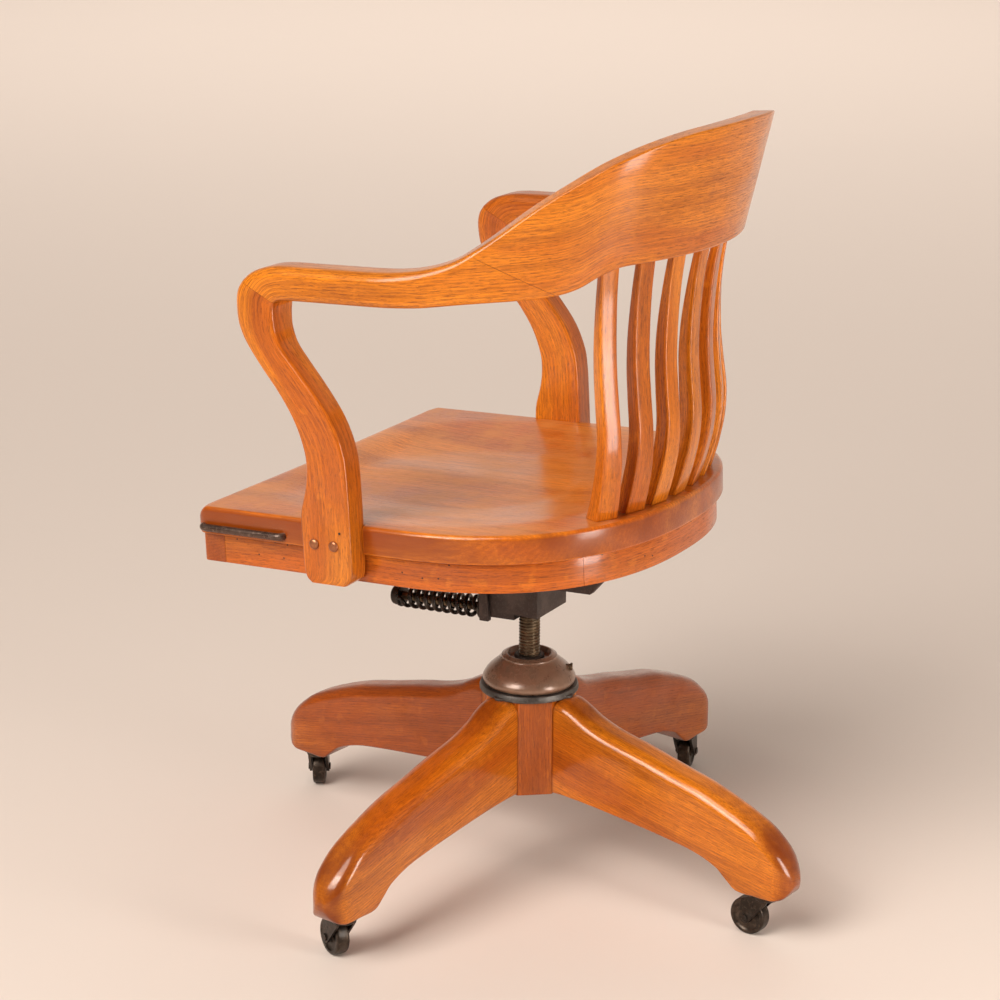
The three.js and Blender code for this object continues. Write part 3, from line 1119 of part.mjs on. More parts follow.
function bowStation(degrees, scarfSide) {
  const a = Math.abs(degrees);
  const top = ARM_TOP_Z + (CREST_TOP_Z - ARM_TOP_Z) * through(CREST_TOP_SHARES, a);
  const low = ARM_LOW_Z + (CREST_LOW_Z - ARM_LOW_Z) * through(CREST_LOW_SHARES, a);
  const lean = CREST_LEAN * through(LEAN_SHARES, a);
  const blend = through(THICK_SHARES, a);
  const radius = BOW_RADIUS + (ARM_OUT - BOW_RADIUS) * (a / 90) ** 2;
  const thick = CREST_THICK + (ARM_THICK - CREST_THICK) * blend;
  const out = new THREE.Vector3(Math.sin(degrees * DEG), Math.cos(degrees * DEG), 0);
  const foot = radius + lean * (low - BOW_Z);
  const head = radius + lean * (top - BOW_Z);
  const at = new THREE.Vector3(out.x * foot, PLAN_Y + out.y * foot, low);
  const up = new THREE.Vector3(out.x * head, PLAN_Y + out.y * head, top).sub(at);
  const height = up.length();
  return {
    at,
    inward: out.clone().negate(),
    upward: up.normalize(),
    outline: section(thick, height,
      CREST_LOWER_ROUND + (ARM_LOWER_ROUND - CREST_LOWER_ROUND) * blend,
      CREST_TOP_ROUND + (ARM_TOP_ROUND - CREST_TOP_ROUND) * blend),
    scarfSide,
  };
}

// the scarf between crest rail and left arm, a plane across the bow
const scarfLow = bowStation(SCARF_BACK).at;
const frontStation = bowStation(SCARF_FRONT);
const frontHeight = frontStation.outline.reduce((m, [, y]) => Math.max(m, y), 0);
const scarfHigh = frontStation.at.clone().addScaledVector(frontStation.upward, frontHeight);
const scarfMiddle = (SCARF_BACK + SCARF_FRONT) / 2;
const across = new THREE.Vector3(Math.sin(scarfMiddle * DEG), Math.cos(scarfMiddle * DEG), 0);
const scarfUp = new THREE.Vector3().crossVectors(across, scarfHigh.clone().sub(scarfLow)).normalize();
if (scarfUp.z < 0) scarfUp.negate();
const scarfAt = scarfUp.dot(scarfLow);
const trim = (m, normal, offset) => m.trimByPlane([normal.x, normal.y, normal.z], offset);

const crestEnd = SCARF_FRONT + SCARF_SPARE;
const crestStations = [];
const crestSteps = 36;
for (let i = 0; i <= crestSteps; i += 1) {
  crestStations.push(bowStation(-crestEnd + 2 * crestEnd * i / crestSteps));
}
const otherUp = new THREE.Vector3(-scarfUp.x, scarfUp.y, scarfUp.z);
const crestRaw = trim(solid(skin(crestStations)), scarfUp, scarfAt + GAP / 2);
const crest = trim(crestRaw, otherUp, scarfAt + GAP / 2);
add('crest_rail', leaned(shape(crest)), OAK_PALE);

// elbow, in the side view: front and upper edge, rear and lower edge, as shares of
// the elbow's reach back from its foremost point and of the arm's depth below its top
const elbowPoint = (y, z) => [ELBOW_Y + y * ELBOW_RUN, ARM_TOP_Z - z * ARM_DEPTH];
const ARM_ELBOW_SHARES = [
  [[1.75, 0.0], [1.75, 1.0]], [[1.25, 0.0], [1.533, 1.0]],
  [[0.957, 0.029], [1.359, 1.006]], [[0.685, 0.107], [1.228, 1.023]],
  [[0.424, 0.246], [1.141, 1.058]], [[0.207, 0.464], [1.087, 1.101]],
];
// further down, past the elbow's last pair: share of the elbow's run, share of the post's fall
const POST_SHARES = [
  [[0.207, 0.0], [1.087, 0.0]],
  [[0.072, 0.026995], [1.043, 0.011868]],
  [[0.011, 0.058993], [1.026, 0.030369]],
  [[0.0, 0.101115], [1.026, 0.053990]],
  [[0.043, 0.154755], [1.059, 0.099602]],
  [[0.207, 0.214098], [1.196, 0.153476]],
  [[0.554, 0.291708], [1.478, 0.207465]],
  [[1.098, 0.401317], [2.0, 0.305322]],
  [[1.452, 0.495799], [2.435, 0.403062]],
  [[1.652, 0.591911], [2.685, 0.504293]],
  [[1.678, 0.659282], [2.743, 0.583533]],
  [[1.62, 0.723395], [2.754, 0.649275]],
];
const POST_THIN_STEPS = 8; // stations over which the post thins
const postFall = ARM_LOW_Z - POST_LOW_Z;
const elbowLast = ARM_ELBOW_SHARES[ARM_ELBOW_SHARES.length - 1];
const postPoint = ([y, z], share) => [ELBOW_Y + y * ELBOW_RUN,
  ARM_TOP_Z - share * ARM_DEPTH - z * postFall];
const footTop = postPoint(POST_SHARES[POST_SHARES.length - 1][1], elbowLast[1][1])[1];
const footRise = footTop - POST_LOW_Z;
// further down the foot: share of its rise, share of POST_DEPTH drawn in at each end
const FOOT_SHARES = [[0.72, 0], [0.4, 0], [0.16, 0.01], [0.05, 0.05], [0, 0.14]];

function pairStation(front, rear, thick, low, high, shift = 0) {
  const up = new THREE.Vector3(0, front[0] - rear[0], front[1] - rear[1]);
  const height = up.length();
  up.normalize();
  const along = new THREE.Vector3(0, -up.z, up.y);
  return {
    at: new THREE.Vector3(ARM_OUT, rear[0], rear[1]).addScaledVector(along, shift),
    inward: new THREE.Vector3(-1, 0, 0),
    upward: up,
    outline: section(thick, height, low, high),
  };
}

const ARM_STEP = 4; // degrees from one station to the next
const armStations = [];
for (let d = SCARF_BACK - SCARF_SPARE; d < 90; d += ARM_STEP) armStations.push(bowStation(d));
armStations.push(bowStation(90));
const levelStart = ELBOW_Y + ELBOW_RUN * ARM_ELBOW_SHARES[0][0][0];
const armSteps = 3;
for (let i = 1; i <= armSteps; i += 1) {
  const y = PLAN_Y + (levelStart - PLAN_Y) * i / (armSteps + 1);
  armStations.push(pairStation([y, ARM_TOP_Z], [y, ARM_LOW_Z], ARM_THICK, ARM_LOWER_ROUND, ARM_TOP_ROUND));
}
ARM_ELBOW_SHARES.forEach(([front, rear], i) => {
  const last = i === ARM_ELBOW_SHARES.length - 1;
  armStations.push(pairStation(elbowPoint(...front), elbowPoint(...rear), ARM_THICK,
    ARM_LOWER_ROUND, ARM_TOP_ROUND, last ? -GAP / 2 : 0));
});
const armSolid = trim(solid(skin(armStations)), scarfUp.clone().negate(), -(scarfAt - GAP / 2));
add('arm_left', leaned(shape(armSolid)), OAK_PALE);
add('arm_right', leaned(mirrored(shape(armSolid))), OAK_PALE);

const postFootThick = ARM_OUT - postIn;
const postStations = POST_SHARES.map(([front, rear], i) => {
  const share = Math.min(1, Math.max(0, (i - 1) / POST_THIN_STEPS));
  const eased = share * share * (3 - 2 * share);
  const thick = POST_TOP_THICK + (postFootThick - POST_TOP_THICK) * eased;
  const round = ARM_LOWER_ROUND + (POST_EDGE - ARM_LOWER_ROUND) * eased;
  const upper = ARM_TOP_ROUND + (POST_EDGE - ARM_TOP_ROUND) * eased;
  return pairStation(postPoint(front, elbowLast[0][1]), postPoint(rear, elbowLast[1][1]),
    i === 0 ? ARM_THICK : thick, round, upper, i === 0 ? GAP / 2 : 0);
});
FOOT_SHARES.forEach(([rise, drawn]) => {
  const z = POST_LOW_Z + footRise * rise;
  const y1 = POST_REAR_Y - POST_DEPTH * drawn;
  const y0 = POST_REAR_Y - POST_DEPTH * (1 - drawn);
  postStations.push(pairStation([y0, z], [y1, z], postFootThick, POST_EDGE, POST_EDGE));
});
let postSolid = solid(skin(postStations));
POST_SCREW_YS.forEach((y) => {
  postSolid = postSolid.subtract(solid(rodX(POST_SCREW_RADIUS + GAP, postIn - OVERRUN, ARM_OUT + OVERRUN,
    y, POST_SCREW_Z, 12)));
});
add('post_left', leaned(shape(postSolid)), OAK);
add('post_right', leaned(mirrored(shape(postSolid))), OAK);

const screwHeadIn = ARM_OUT + GAP;
// share of the head's radius, share of its height
const SCREW_DOME_SHARES = [[0.86, 0.6], [0.5, 0.93]];
const postScrew = (y) => solid(rodX(POST_SCREW_RADIUS, postScrewReach, screwHeadIn + GAP, y,
  POST_SCREW_Z, 12))
  .add(solid(turned([
    [0, screwHeadIn], [POST_SCREW_HEAD, screwHeadIn],
    ...SCREW_DOME_SHARES.map(([r, h]) => [POST_SCREW_HEAD * r, screwHeadIn + POST_SCREW_HEAD_HEIGHT * h]),
    [0, screwHeadIn + POST_SCREW_HEAD_HEIGHT],
  ], 12).rotateY(Math.PI / 2).translate(0, y, POST_SCREW_Z)));
POST_SCREW_YS.forEach((y, i) => {
  add(`post_screw_left_${i + 1}`, leaned(shape(postScrew(y))), COPPER);
  add(`post_screw_right_${i + 1}`, leaned(mirrored(shape(postScrew(y)))), COPPER);
});

// slats
// share of the height, of the bulge, of the way from foot thickness to top thickness
const SLAT_SHARES = [
  [0, 0, 0], [0.06, 0.38, 0.1], [0.125, 0.7, 0.18], [0.22, 1, 0.26], [0.33, 0.94, 0.34],
  [0.46, 0.4, 0.43], [0.57, -0.02, 0.51], [0.7, -0.25, 0.63], [0.86, -0.26, 0.87], [1, 0, 1],
];
const slatTurns = [...SLAT_TURNS, 0, ...SLAT_TURNS.map((turn) => -turn).reverse()];
slatTurns.forEach((degrees, k) => {
  const place = degrees / SLAT_TURNS[0];
  const end = bowStation(degrees);
  const low = SEAT_TOP_Z + GAP;
  const high = end.at.z + OVERRUN;
  const footRadius = SLAT_FOOT_RADIUS + SLAT_SPREAD * place * place;
  const out = new THREE.Vector3(Math.sin(degrees * DEG), Math.cos(degrees * DEG), 0);
  const sideways = new THREE.Vector3(out.y, -out.x, 0);
  const stations = SLAT_SHARES.map(([h, bulge, thin]) => {
    const radius = footRadius + (SLAT_TOP_RADIUS - footRadius) * h + SLAT_BULGE * bulge;
    const width = SLAT_WIDTH + (SLAT_TOP_WIDTH - SLAT_WIDTH) * Math.min(1, h / SLAT_WAIST_SHARE);
    const thick = SLAT_FOOT_THICK + (SLAT_TOP_THICK - SLAT_FOOT_THICK) * thin;
    return {
      at: new THREE.Vector3(out.x * radius, PLAN_Y + out.y * radius, low + (high - low) * h)
        .addScaledVector(sideways, -width / 2),
      inward: sideways,
      upward: out.clone().negate(),
      outline: section(width, thick, SLAT_EDGE, SLAT_EDGE, 1),
    };
  });
  const spread = Math.atan(SLAT_TOP_WIDTH / 2 / SLAT_TOP_RADIUS) / DEG;
  const one = bowStation(degrees - spread).at;
  const two = bowStation(degrees + spread).at;
  const topPlane = new THREE.Vector3().crossVectors(two.sub(one), out).normalize();
  if (topPlane.z < 0) topPlane.negate();
  const edge = [-1, -0.5, 0, 0.5, 1].map((share) => topPlane.dot(bowStation(degrees + spread * share).at));
  const slat = trim(solid(skin(stations)), topPlane.clone().negate(), GAP * 3 - Math.min(...edge));
  add(`slat_${k + 1}`, leaned(shape(slat)), OAK);
});

// the origin: the column axis, on the floor
const box = new THREE.Box3();
group.children.forEach((m) => {
  m.geometry.computeBoundingBox();
  box.union(m.geometry.boundingBox);
});
const shift = new THREE.Vector3(0, 0, -box.min.z);
group.children.forEach((m) => m.geometry.translate(shift.x, shift.y, shift.z));

const size = box.getSize(new THREE.Vector3());
let triangles = 0;
group.children.forEach((m) => {
  triangles += m.geometry.index.count / 3;
});
const say = (v) => [v.x, v.y, v.z].map((n) => n.toFixed(3)).join(' ');
console.log(`nodes ${group.children.length}, triangles ${triangles}, size ${say(size)}`);
console.log(`column axis ${say(shift)}, floor at 0`);
console.log(`tilt shaft ${say(new THREE.Vector3(0, SHAFT_Y, SHAFT_Z).add(shift))}`);
casterSpots.forEach(({ spot, aim }, i) => {
  const trail = new THREE.Vector3(TRAIL * Math.cos(aim), TRAIL * Math.sin(aim), WHEEL_RADIUS);
  const hubSpot = spot.clone().add(trail);
  console.log(`caster ${i + 1} stem ${say(spot.clone().add(shift))} wheel ${say(hubSpot.add(shift))}`
    + ` axle ${(-Math.sin(aim)).toFixed(4)} ${Math.cos(aim).toFixed(4)} 0`);
});

export default group;
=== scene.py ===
"""A banker's swivel chair in varnished oak, with its ironwork, lights and camera.

Run as a script it builds the whole picture. Its operators can also be run one by
one from the panel in the 3D view's sidebar.
"""
import math

import bmesh
import bpy
import numpy as np
from bpy.props import FloatProperty, FloatVectorProperty, IntProperty, PointerProperty
from mathutils import Matrix, Vector


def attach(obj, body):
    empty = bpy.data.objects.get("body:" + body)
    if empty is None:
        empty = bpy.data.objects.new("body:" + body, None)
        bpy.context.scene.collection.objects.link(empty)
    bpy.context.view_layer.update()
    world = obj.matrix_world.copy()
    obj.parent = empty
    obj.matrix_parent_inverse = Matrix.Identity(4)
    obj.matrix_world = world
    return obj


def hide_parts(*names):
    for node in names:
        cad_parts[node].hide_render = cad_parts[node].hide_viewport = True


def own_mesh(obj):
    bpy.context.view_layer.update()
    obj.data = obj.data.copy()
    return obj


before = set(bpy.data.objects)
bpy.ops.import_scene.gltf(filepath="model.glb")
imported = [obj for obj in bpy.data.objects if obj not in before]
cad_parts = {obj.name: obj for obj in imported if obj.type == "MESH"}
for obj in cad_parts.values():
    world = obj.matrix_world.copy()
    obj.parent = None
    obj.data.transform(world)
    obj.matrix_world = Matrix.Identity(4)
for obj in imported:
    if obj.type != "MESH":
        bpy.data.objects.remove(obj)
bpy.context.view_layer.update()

bl_info = {"name": "Banker's swivel chair", "version": (1, 0, 0), "blender": (4, 5, 0),
    "location": "View3D > Sidebar > Chair",
    "description": "Builds an oak swivel armchair over its solid parts", "category": "Object", }

MM = 0.001
GAP = 0.3 * MM
OVERRUN = 3 * MM
UP = Vector((0, 0, 1))

# Where the tilt shaft runs, and how far the seat leans forward on it at rest.
SHAFT = Vector((0, -40.8, 353.9)) * MM
REST_LEAN = math.radians(2.85)
LEANED = (Matrix.Translation(SHAFT) @ Matrix.Rotation(REST_LEAN, 4, "X") @ Matrix.Translation(-SHAFT))
LEVEL = Matrix.Identity(4)

# Where the grain of the crest rail and the arms starts, and by how many degrees each is
# drawn past the joint between them.
CREST_GRAIN = Vector((0.05, 0.02, 0))
SCARF_SPARE = 6

# Points of a solid closer than WELD are joined, faces flatter than FLAT too, and edges
# sharper than SHARP are softened.
WELD = 0.002 * MM
FLAT = math.radians(1.2)
SHARP = math.radians(28)

# How far lower and upper edges are rounded.
CREST_ROUND = 2.5 * MM
ARM_ROUND = (5 * MM, 10 * MM)
FOOT_ROUND = 3.5 * MM

# Degrees round the bow from the back, share of the way from arm height to crest height.
CREST_TOP_SHARES = [
    (0, 1), (9, 0.995), (18.7, 0.973), (28, 0.908), (36, 0.805), (43.6, 0.659),
    (51.4, 0.494), (59.7, 0.295), (65, 0.18), (70.2, 0.09), (78.5, 0.023), (90, 0),
]
CREST_LOW_SHARES = [
    (0, 1), (28, 0.995), (33, 0.95), (37.5, 0.74), (42, 0.44), (47, 0.28),
    (54, 0.215), (62, 0.18), (69, 0.13), (78, 0.03), (90, 0),
]
THICK_SHARES = [(0, 0), (42, 0), (60, 0.28), (75, 0.72), (90, 1)]
LEAN_SHARES = [(0, 1), (30, 1), (50, 0.62), (66, 0.24), (80, 0), (90, 0)]

# The elbow in the side view: pairs of front upper and rear lower edge, each as a share
# of the elbow's run back and of the arm's depth down.
ARM_ELBOW_SHARES = [
    ((1.75, 0.0), (1.75, 1.0)), ((1.25, 0.0), (1.533, 1.0)),
    ((0.957, 0.029), (1.359, 1.006)), ((0.685, 0.107), (1.228, 1.023)),
    ((0.424, 0.246), (1.141, 1.058)), ((0.207, 0.464), (1.087, 1.101)),
]
POST_SHARES = [
    ((0.207, 0.464), (1.087, 1.101)), ((0.072, 0.696), (1.043, 1.203)),
    ((0.011, 0.971), (1.026, 1.362)), ((0.0, 1.333), (1.026, 1.565)),
    ((0.043, 1.794), (1.059, 1.957)), ((0.207, 2.304), (1.196, 2.42)),
    ((0.554, 2.971), (1.478, 2.884)), ((1.098, 3.913), (2.0, 3.725)),
    ((1.452, 4.725), (2.435, 4.565)), ((1.652, 5.551), (2.685, 5.435)),
    ((1.678, 6.13), (2.743, 6.116)), ((1.62, 6.681), (2.754, 6.681)),
]
FOOT_SHARES = [(0.72, 0), (0.4, 0), (0.16, 0.01), (0.05, 0.05), (0, 0.14)]

# Share of the slat's height, of its bulge, of the way from foot to top thickness.
SLAT_SHARES = [
    (0, 0, 0), (0.06, 0.38, 0.1), (0.125, 0.7, 0.18), (0.22, 1, 0.26), (0.33, 0.94, 0.34),
    (0.46, 0.4, 0.43), (0.57, -0.02, 0.51), (0.7, -0.25, 0.63), (0.86, -0.26, 0.87), (1, 0, 1),
]

# Share of the leg's reach, its upper edge, its lower edge, its width.
LEG_SHARES = [
    (0.137, 1.0, 1.88, 1), (0.17, 1.0, 1.885, 1), (0.207, 0.974, 1.875, 1),
    (0.254, 0.93, 1.86, 1), (0.331, 0.884, 1.82, 1), (0.445, 0.842, 1.745, 1),
    (0.566, 0.79, 1.655, 1), (0.67, 0.748, 1.545, 1), (0.748, 0.704, 1.36, 1),
    (0.784, 0.68, 1.17, 1), (0.82, 0.656, 1, 1), (0.884, 0.602, 1, 1),
    (0.938, 0.53, 1, 0.96), (0.96, 0.493, 1.03, 0.86), (0.976, 0.458, 1.09, 0.7),
    (0.988, 0.418, 1.2, 0.5), (0.997, 0.37, 1.33, 0.27),
]
DOME_SHARES = [
    (0.945, 0), (0.985, 0.05), (1, 0.13), (1, 0.2), (0.978, 0.27), (0.95, 0.345), (0.915, 0.42),
    (0.875, 0.49), (0.825, 0.565), (0.775, 0.63), (0.72, 0.705), (0.668, 0.774), (0.625, 0.835),
    (0.598, 0.872), (0.594, 0.89), (0.6, 0.905), (0.598, 0.925), (0.588, 0.938), (0.575, 0.942),
    (0.56, 0.955), (0.535, 0.98), (0.51, 0.995), (0.49, 1), (0.475, 0.992),
]

# A wheel's side: radius in millimetres, share of its half thickness.
WHEEL_SIDE = [
    (2.8, 1.0), (7, 1.0), (7.6, 0.82), (9.5, 0.74), (13.5, 0.74), (15.6, 0.86), (16.6, 1.0),
    (18.5, 1.0),
]


# What sets each oak finish apart from the plain one.
WOODS = {
    "oak_frame": {},
    "oak_rail": {"holes": 0.3, "depth": 1.08, "warmth": 0.96},
    "oak_arms": {},
    # On the seat, top faces are paled in patches: wear, and painted light on the top.
    "oak_seat": {"depth": 1.1, "warmth": 0.96, "rough": 0.3, "worn": 0.75, "pores": 0.45,
                 # On the seat, upright faces are darkened: end grain at front and back, painted shade on
                 # the side edges.
                 "bands": 1.3, "coat": 0.2, "ends": 1.0},
    "oak_end": {"depth": 0.62, "warmth": 0.78, "rough": 0.4, "pores": 1.2},
    # A darker copy of the base oak for the far two legs: painted shade, as they lie in shade under the
    # seat.
    "oak_far_painted_shade": {"depth": 0.66, "warmth": 0.84, "rough": 0.34, "pores": 0.7, "coat": 0.16, "ends": 0.7},
    "oak_base": {"depth": 0.9, "warmth": 0.96, "rough": 0.3, "pores": 0.8, "coat": 0.13, "ends": 1.0},
}

# Each metal's dark and worn colour, and what sets it apart from plain old iron.
METALS = {
    "iron": ((0.03, 0.022, 0.018), (0.065, 0.047, 0.036), {}),
    "cast": ((0.065, 0.048, 0.042), (0.12, 0.09, 0.078), {"rough": 0.6, "relief": 0.8, "grit": 420.0}),
    "caster": ((0.026, 0.019, 0.014), (0.088, 0.062, 0.044),
               {"rough": 0.34, "relief": 0.5, "metallic": 0.75, "wear": 0.5}),
    "spring": ((0.035, 0.029, 0.026), (0.08, 0.068, 0.058),
               {"rough": 0.28, "relief": 0.2, "metallic": 0.9}),
    "steel": ((0.11, 0.078, 0.05), (0.26, 0.19, 0.115),
              {"rough": 0.34, "relief": 0.3, "metallic": 0.9, "wear": 0.5}),
    "bronze": ((0.225, 0.125, 0.078), (0.31, 0.18, 0.115),
               {"rough": 0.3, "relief": 0.12, "metallic": 0.3, "wear": 0.12, "coat": 0.6}),
    "ring": ((0.08, 0.07, 0.062), (0.16, 0.145, 0.13), {"rough": 0.42, "relief": 0.3, "metallic": 0.7}),
    "rod": ((0.1, 0.06, 0.045), (0.22, 0.15, 0.11),
            {"rough": 0.32, "relief": 0.2, "metallic": 0.7, "wear": 0.4}),
    "copper": ((0.34, 0.12, 0.05), (0.45, 0.2, 0.09),
               {"rough": 0.34, "relief": 0.2, "metallic": 0.65, "wear": 0.4}),
}

# Solids that are shown as they are, but softened: node, finish, body, slot, and how wide in
# millimetres.
HEAD_COPIES = [
    ("set_screw", "steel", "dome", "steel", 0.5), ("spindle_collar", "iron", "collar", "iron", 0.5),
    ("base_flange", "ring", "base", "iron", 0.5), ("hub_plate", "iron", "base", "iron", 0.5),
    ("hub_tube", "steel", "base", "steel", 0.5),
]
TILT_COPIES = [
    ("yoke", "cast", "column", "iron", 1.4), ("seat_iron_left", "cast", "seat", "iron", 1.1),
    ("seat_iron_right", "cast", "seat", "iron", 1.1), ("seat_iron_fork", "cast", "seat", "iron", 1.2),
    ("tilt_shaft", "steel", "seat", "steel", 0.8), ("spring_bolt", "steel", "column", "steel", 0.6),
    ("spring_washer", "spring", "follower", "iron", 0.5), ("spring_cap", "spring", "column", "iron", 0.5),
    ("spring_nut", "iron", "column", "iron", 0.6), ("iron_screw_left", "steel", "seat", "steel", 0.3),
    ("iron_screw_right", "steel", "seat", "steel", 0.3),
]


# Settings, shown in the panel.
def number(name, description, default, **more):
    return FloatProperty(name=name, description=description, default=default, **more)


def metres(name, description, default):
    return number(name, description, default, unit="LENGTH")


def watts(name, description, default):
    return number(name, description, default, unit="POWER")


def degrees(name, description, default):
    return number(name, description, math.radians(default), subtype="ANGLE")


def paint(name, description, default):
    return FloatVectorProperty(name=name, description=description, default=default,
                               subtype="COLOR", size=3)


class ChairSeatSizes(bpy.types.PropertyGroup):
    half: metres("Half width", "Middle of the seat to its side", 0.241)
    front: metres("Front", "Place of the front edge", -0.274)
    back: metres("Back", "Place of the back edge", 0.2)
    bow_start: metres("Bow start", "Where the sides end and the bow begins", -0.0258)
    fullness: number("Fullness", "Fullness of the back curve, 2 is an ellipse", 2.37)
    top: metres("Top", "Height of the seat's rim", 0.4564)
    thick: metres("Thickness", "Thickness of the board", 0.0308)
    corner: metres("Corner", "Radius of the front corners", 0.012)
    edge: metres("Edge", "Rounding of the side and back edge", 0.005)
    roll: metres("Front roll", "Rounding of the front edge", 0.017)
    dish: metres("Dish", "Depth of the dished part", 0.01)
    rim: metres("Rim", "Flat rim behind the dish", 0.046)
    pommel: metres("Ridge", "Height of the ridge between the legs", 0.005)
    rail_inset: metres("Rail inset", "Rail's outer face in from the edge", 0.0075)
    rail_thick: metres("Rail thickness", "Thickness of the rails", 0.026)
    rail_height: metres("Rail height", "Height of the rails", 0.032)


class ChairBowSizes(bpy.types.PropertyGroup):
    radius: metres("Radius", "Outer face at the back", 0.262)
    arm_out: metres("Arm out", "Middle of the chair to the arm's face", 0.264)
    level: metres("Level", "Height at which the radius is measured", 0.7139)
    lean: number("Lean", "Outward for each upward", 0.262)
    crest_thick: metres("Crest thickness", "Thickness of the crest rail", 0.024)
    arm_thick: metres("Arm width", "Width of the arm", 0.042)
    crest_low: metres("Crest low", "Lower edge at the back", 0.7255)
    crest_top: metres("Crest top", "Upper edge at the back", 0.8555)
    arm_low: metres("Arm low", "Underside of the arm", 0.693)
    arm_top: metres("Arm top", "Top of the arm", 0.7275)
    scarf_back: number("Joint's back", "Degrees to the joint's lower end", 47)
    scarf_front: number("Joint's front", "Degrees to its upper end", 66)
    elbow: metres("Elbow", "Foremost point of arm and post", -0.1875)
    elbow_run: metres("Elbow run", "Foremost point to the level arm", 0.046)


class ChairBaseSizes(bpy.types.PropertyGroup):
    turn: number("Turn", "Degrees from the front to the first leg", 82.3)
    reach: metres("Reach", "Column to the nose of a leg", 0.3595)
    stem: metres("Stem", "Column to a caster's stem", 0.321)
    top: metres("Top", "Height of the legs at the hub", 0.2113)
    foot: metres("Foot", "Underside of a leg over its caster", 0.054)
    width: metres("Width", "Width of a leg", 0.045)
    edge: metres("Edge", "Rounding of the upper edges", 0.015)
    hub: metres("Hub", "Column to the face that carries a leg", 0.0495)
    trail: metres("Trail", "Stem to axle, level", 0.02)
    wheel: metres("Wheel", "Radius of a wheel", 0.021)


class ChairLook(bpy.types.PropertyGroup):
    oak_light: paint("Light oak", "Palest colour of the wood", (0.88, 0.262, 0.012))
    oak_mid: paint("Oak", "Main colour of the wood", (0.63, 0.138, 0.006))
    oak_dark: paint("Dark oak", "Colour of the darker growth", (0.22, 0.038, 0.003))
    pore: paint("Pores", "Colour in the pores", (0.11, 0.02, 0.002))
    gloss: number("Varnish", "Weight of the varnish", 0.95)


class ChairLight(bpy.types.PropertyGroup):
    window: number("Window", "Even light from high on the left", 1.7)
    left: watts("Left", "Soft light from the camera's left", 49)
    right: watts("Right", "Tall soft light behind the chair", 14.5)
    wall: watts("Wall", "Glow of a pale wall behind the chair", 42)
    back: watts("Back", "Light on the floor far behind", 260)
    sky: number("Sky", "Even light from all round", 0.15)


class ChairCamera(bpy.types.PropertyGroup):
    azimuth: degrees("Azimuth", "Turn round the chair from its front", 119.19)
    distance: metres("Distance", "Column to camera, level", 2.6552)
    height: metres("Height", "Camera over the floor", 1.2455)
    pitch: degrees("Pitch", "Downward", 17.06)
    yaw: degrees("Yaw", "To the right", -0.73)
    roll: degrees("Roll", "Turn about the line of sight", 0.29)
    lens: number("Lens", "Focal length in millimetres", 90.69)


class ChairSettings(bpy.types.PropertyGroup):
    seat: PointerProperty(type=ChairSeatSizes)
    bow: PointerProperty(type=ChairBowSizes)
    base: PointerProperty(type=ChairBaseSizes)
    look: PointerProperty(type=ChairLook)
    light: PointerProperty(type=ChairLight)
    camera: PointerProperty(type=ChairCamera)
    fine: IntProperty(name="Fineness", description="Rings between two drawn ones", default=4,
                      min=1, max=8)


# Shader trees.
class Value:
    """A socket that can be used in sums."""

    def __init__(self, tree, socket):
        self.tree = tree
        self.socket = socket


for word, sum_kind in (("add", "ADD"), ("sub", "SUBTRACT"), ("mul", "MULTIPLY")):
    setattr(Value, f"__{word}__", lambda a, b, kind=sum_kind: a.tree.maths(kind, a, b))
    setattr(Value, f"__r{word}__", lambda a, b, kind=sum_kind: a.tree.maths(kind, b, a))


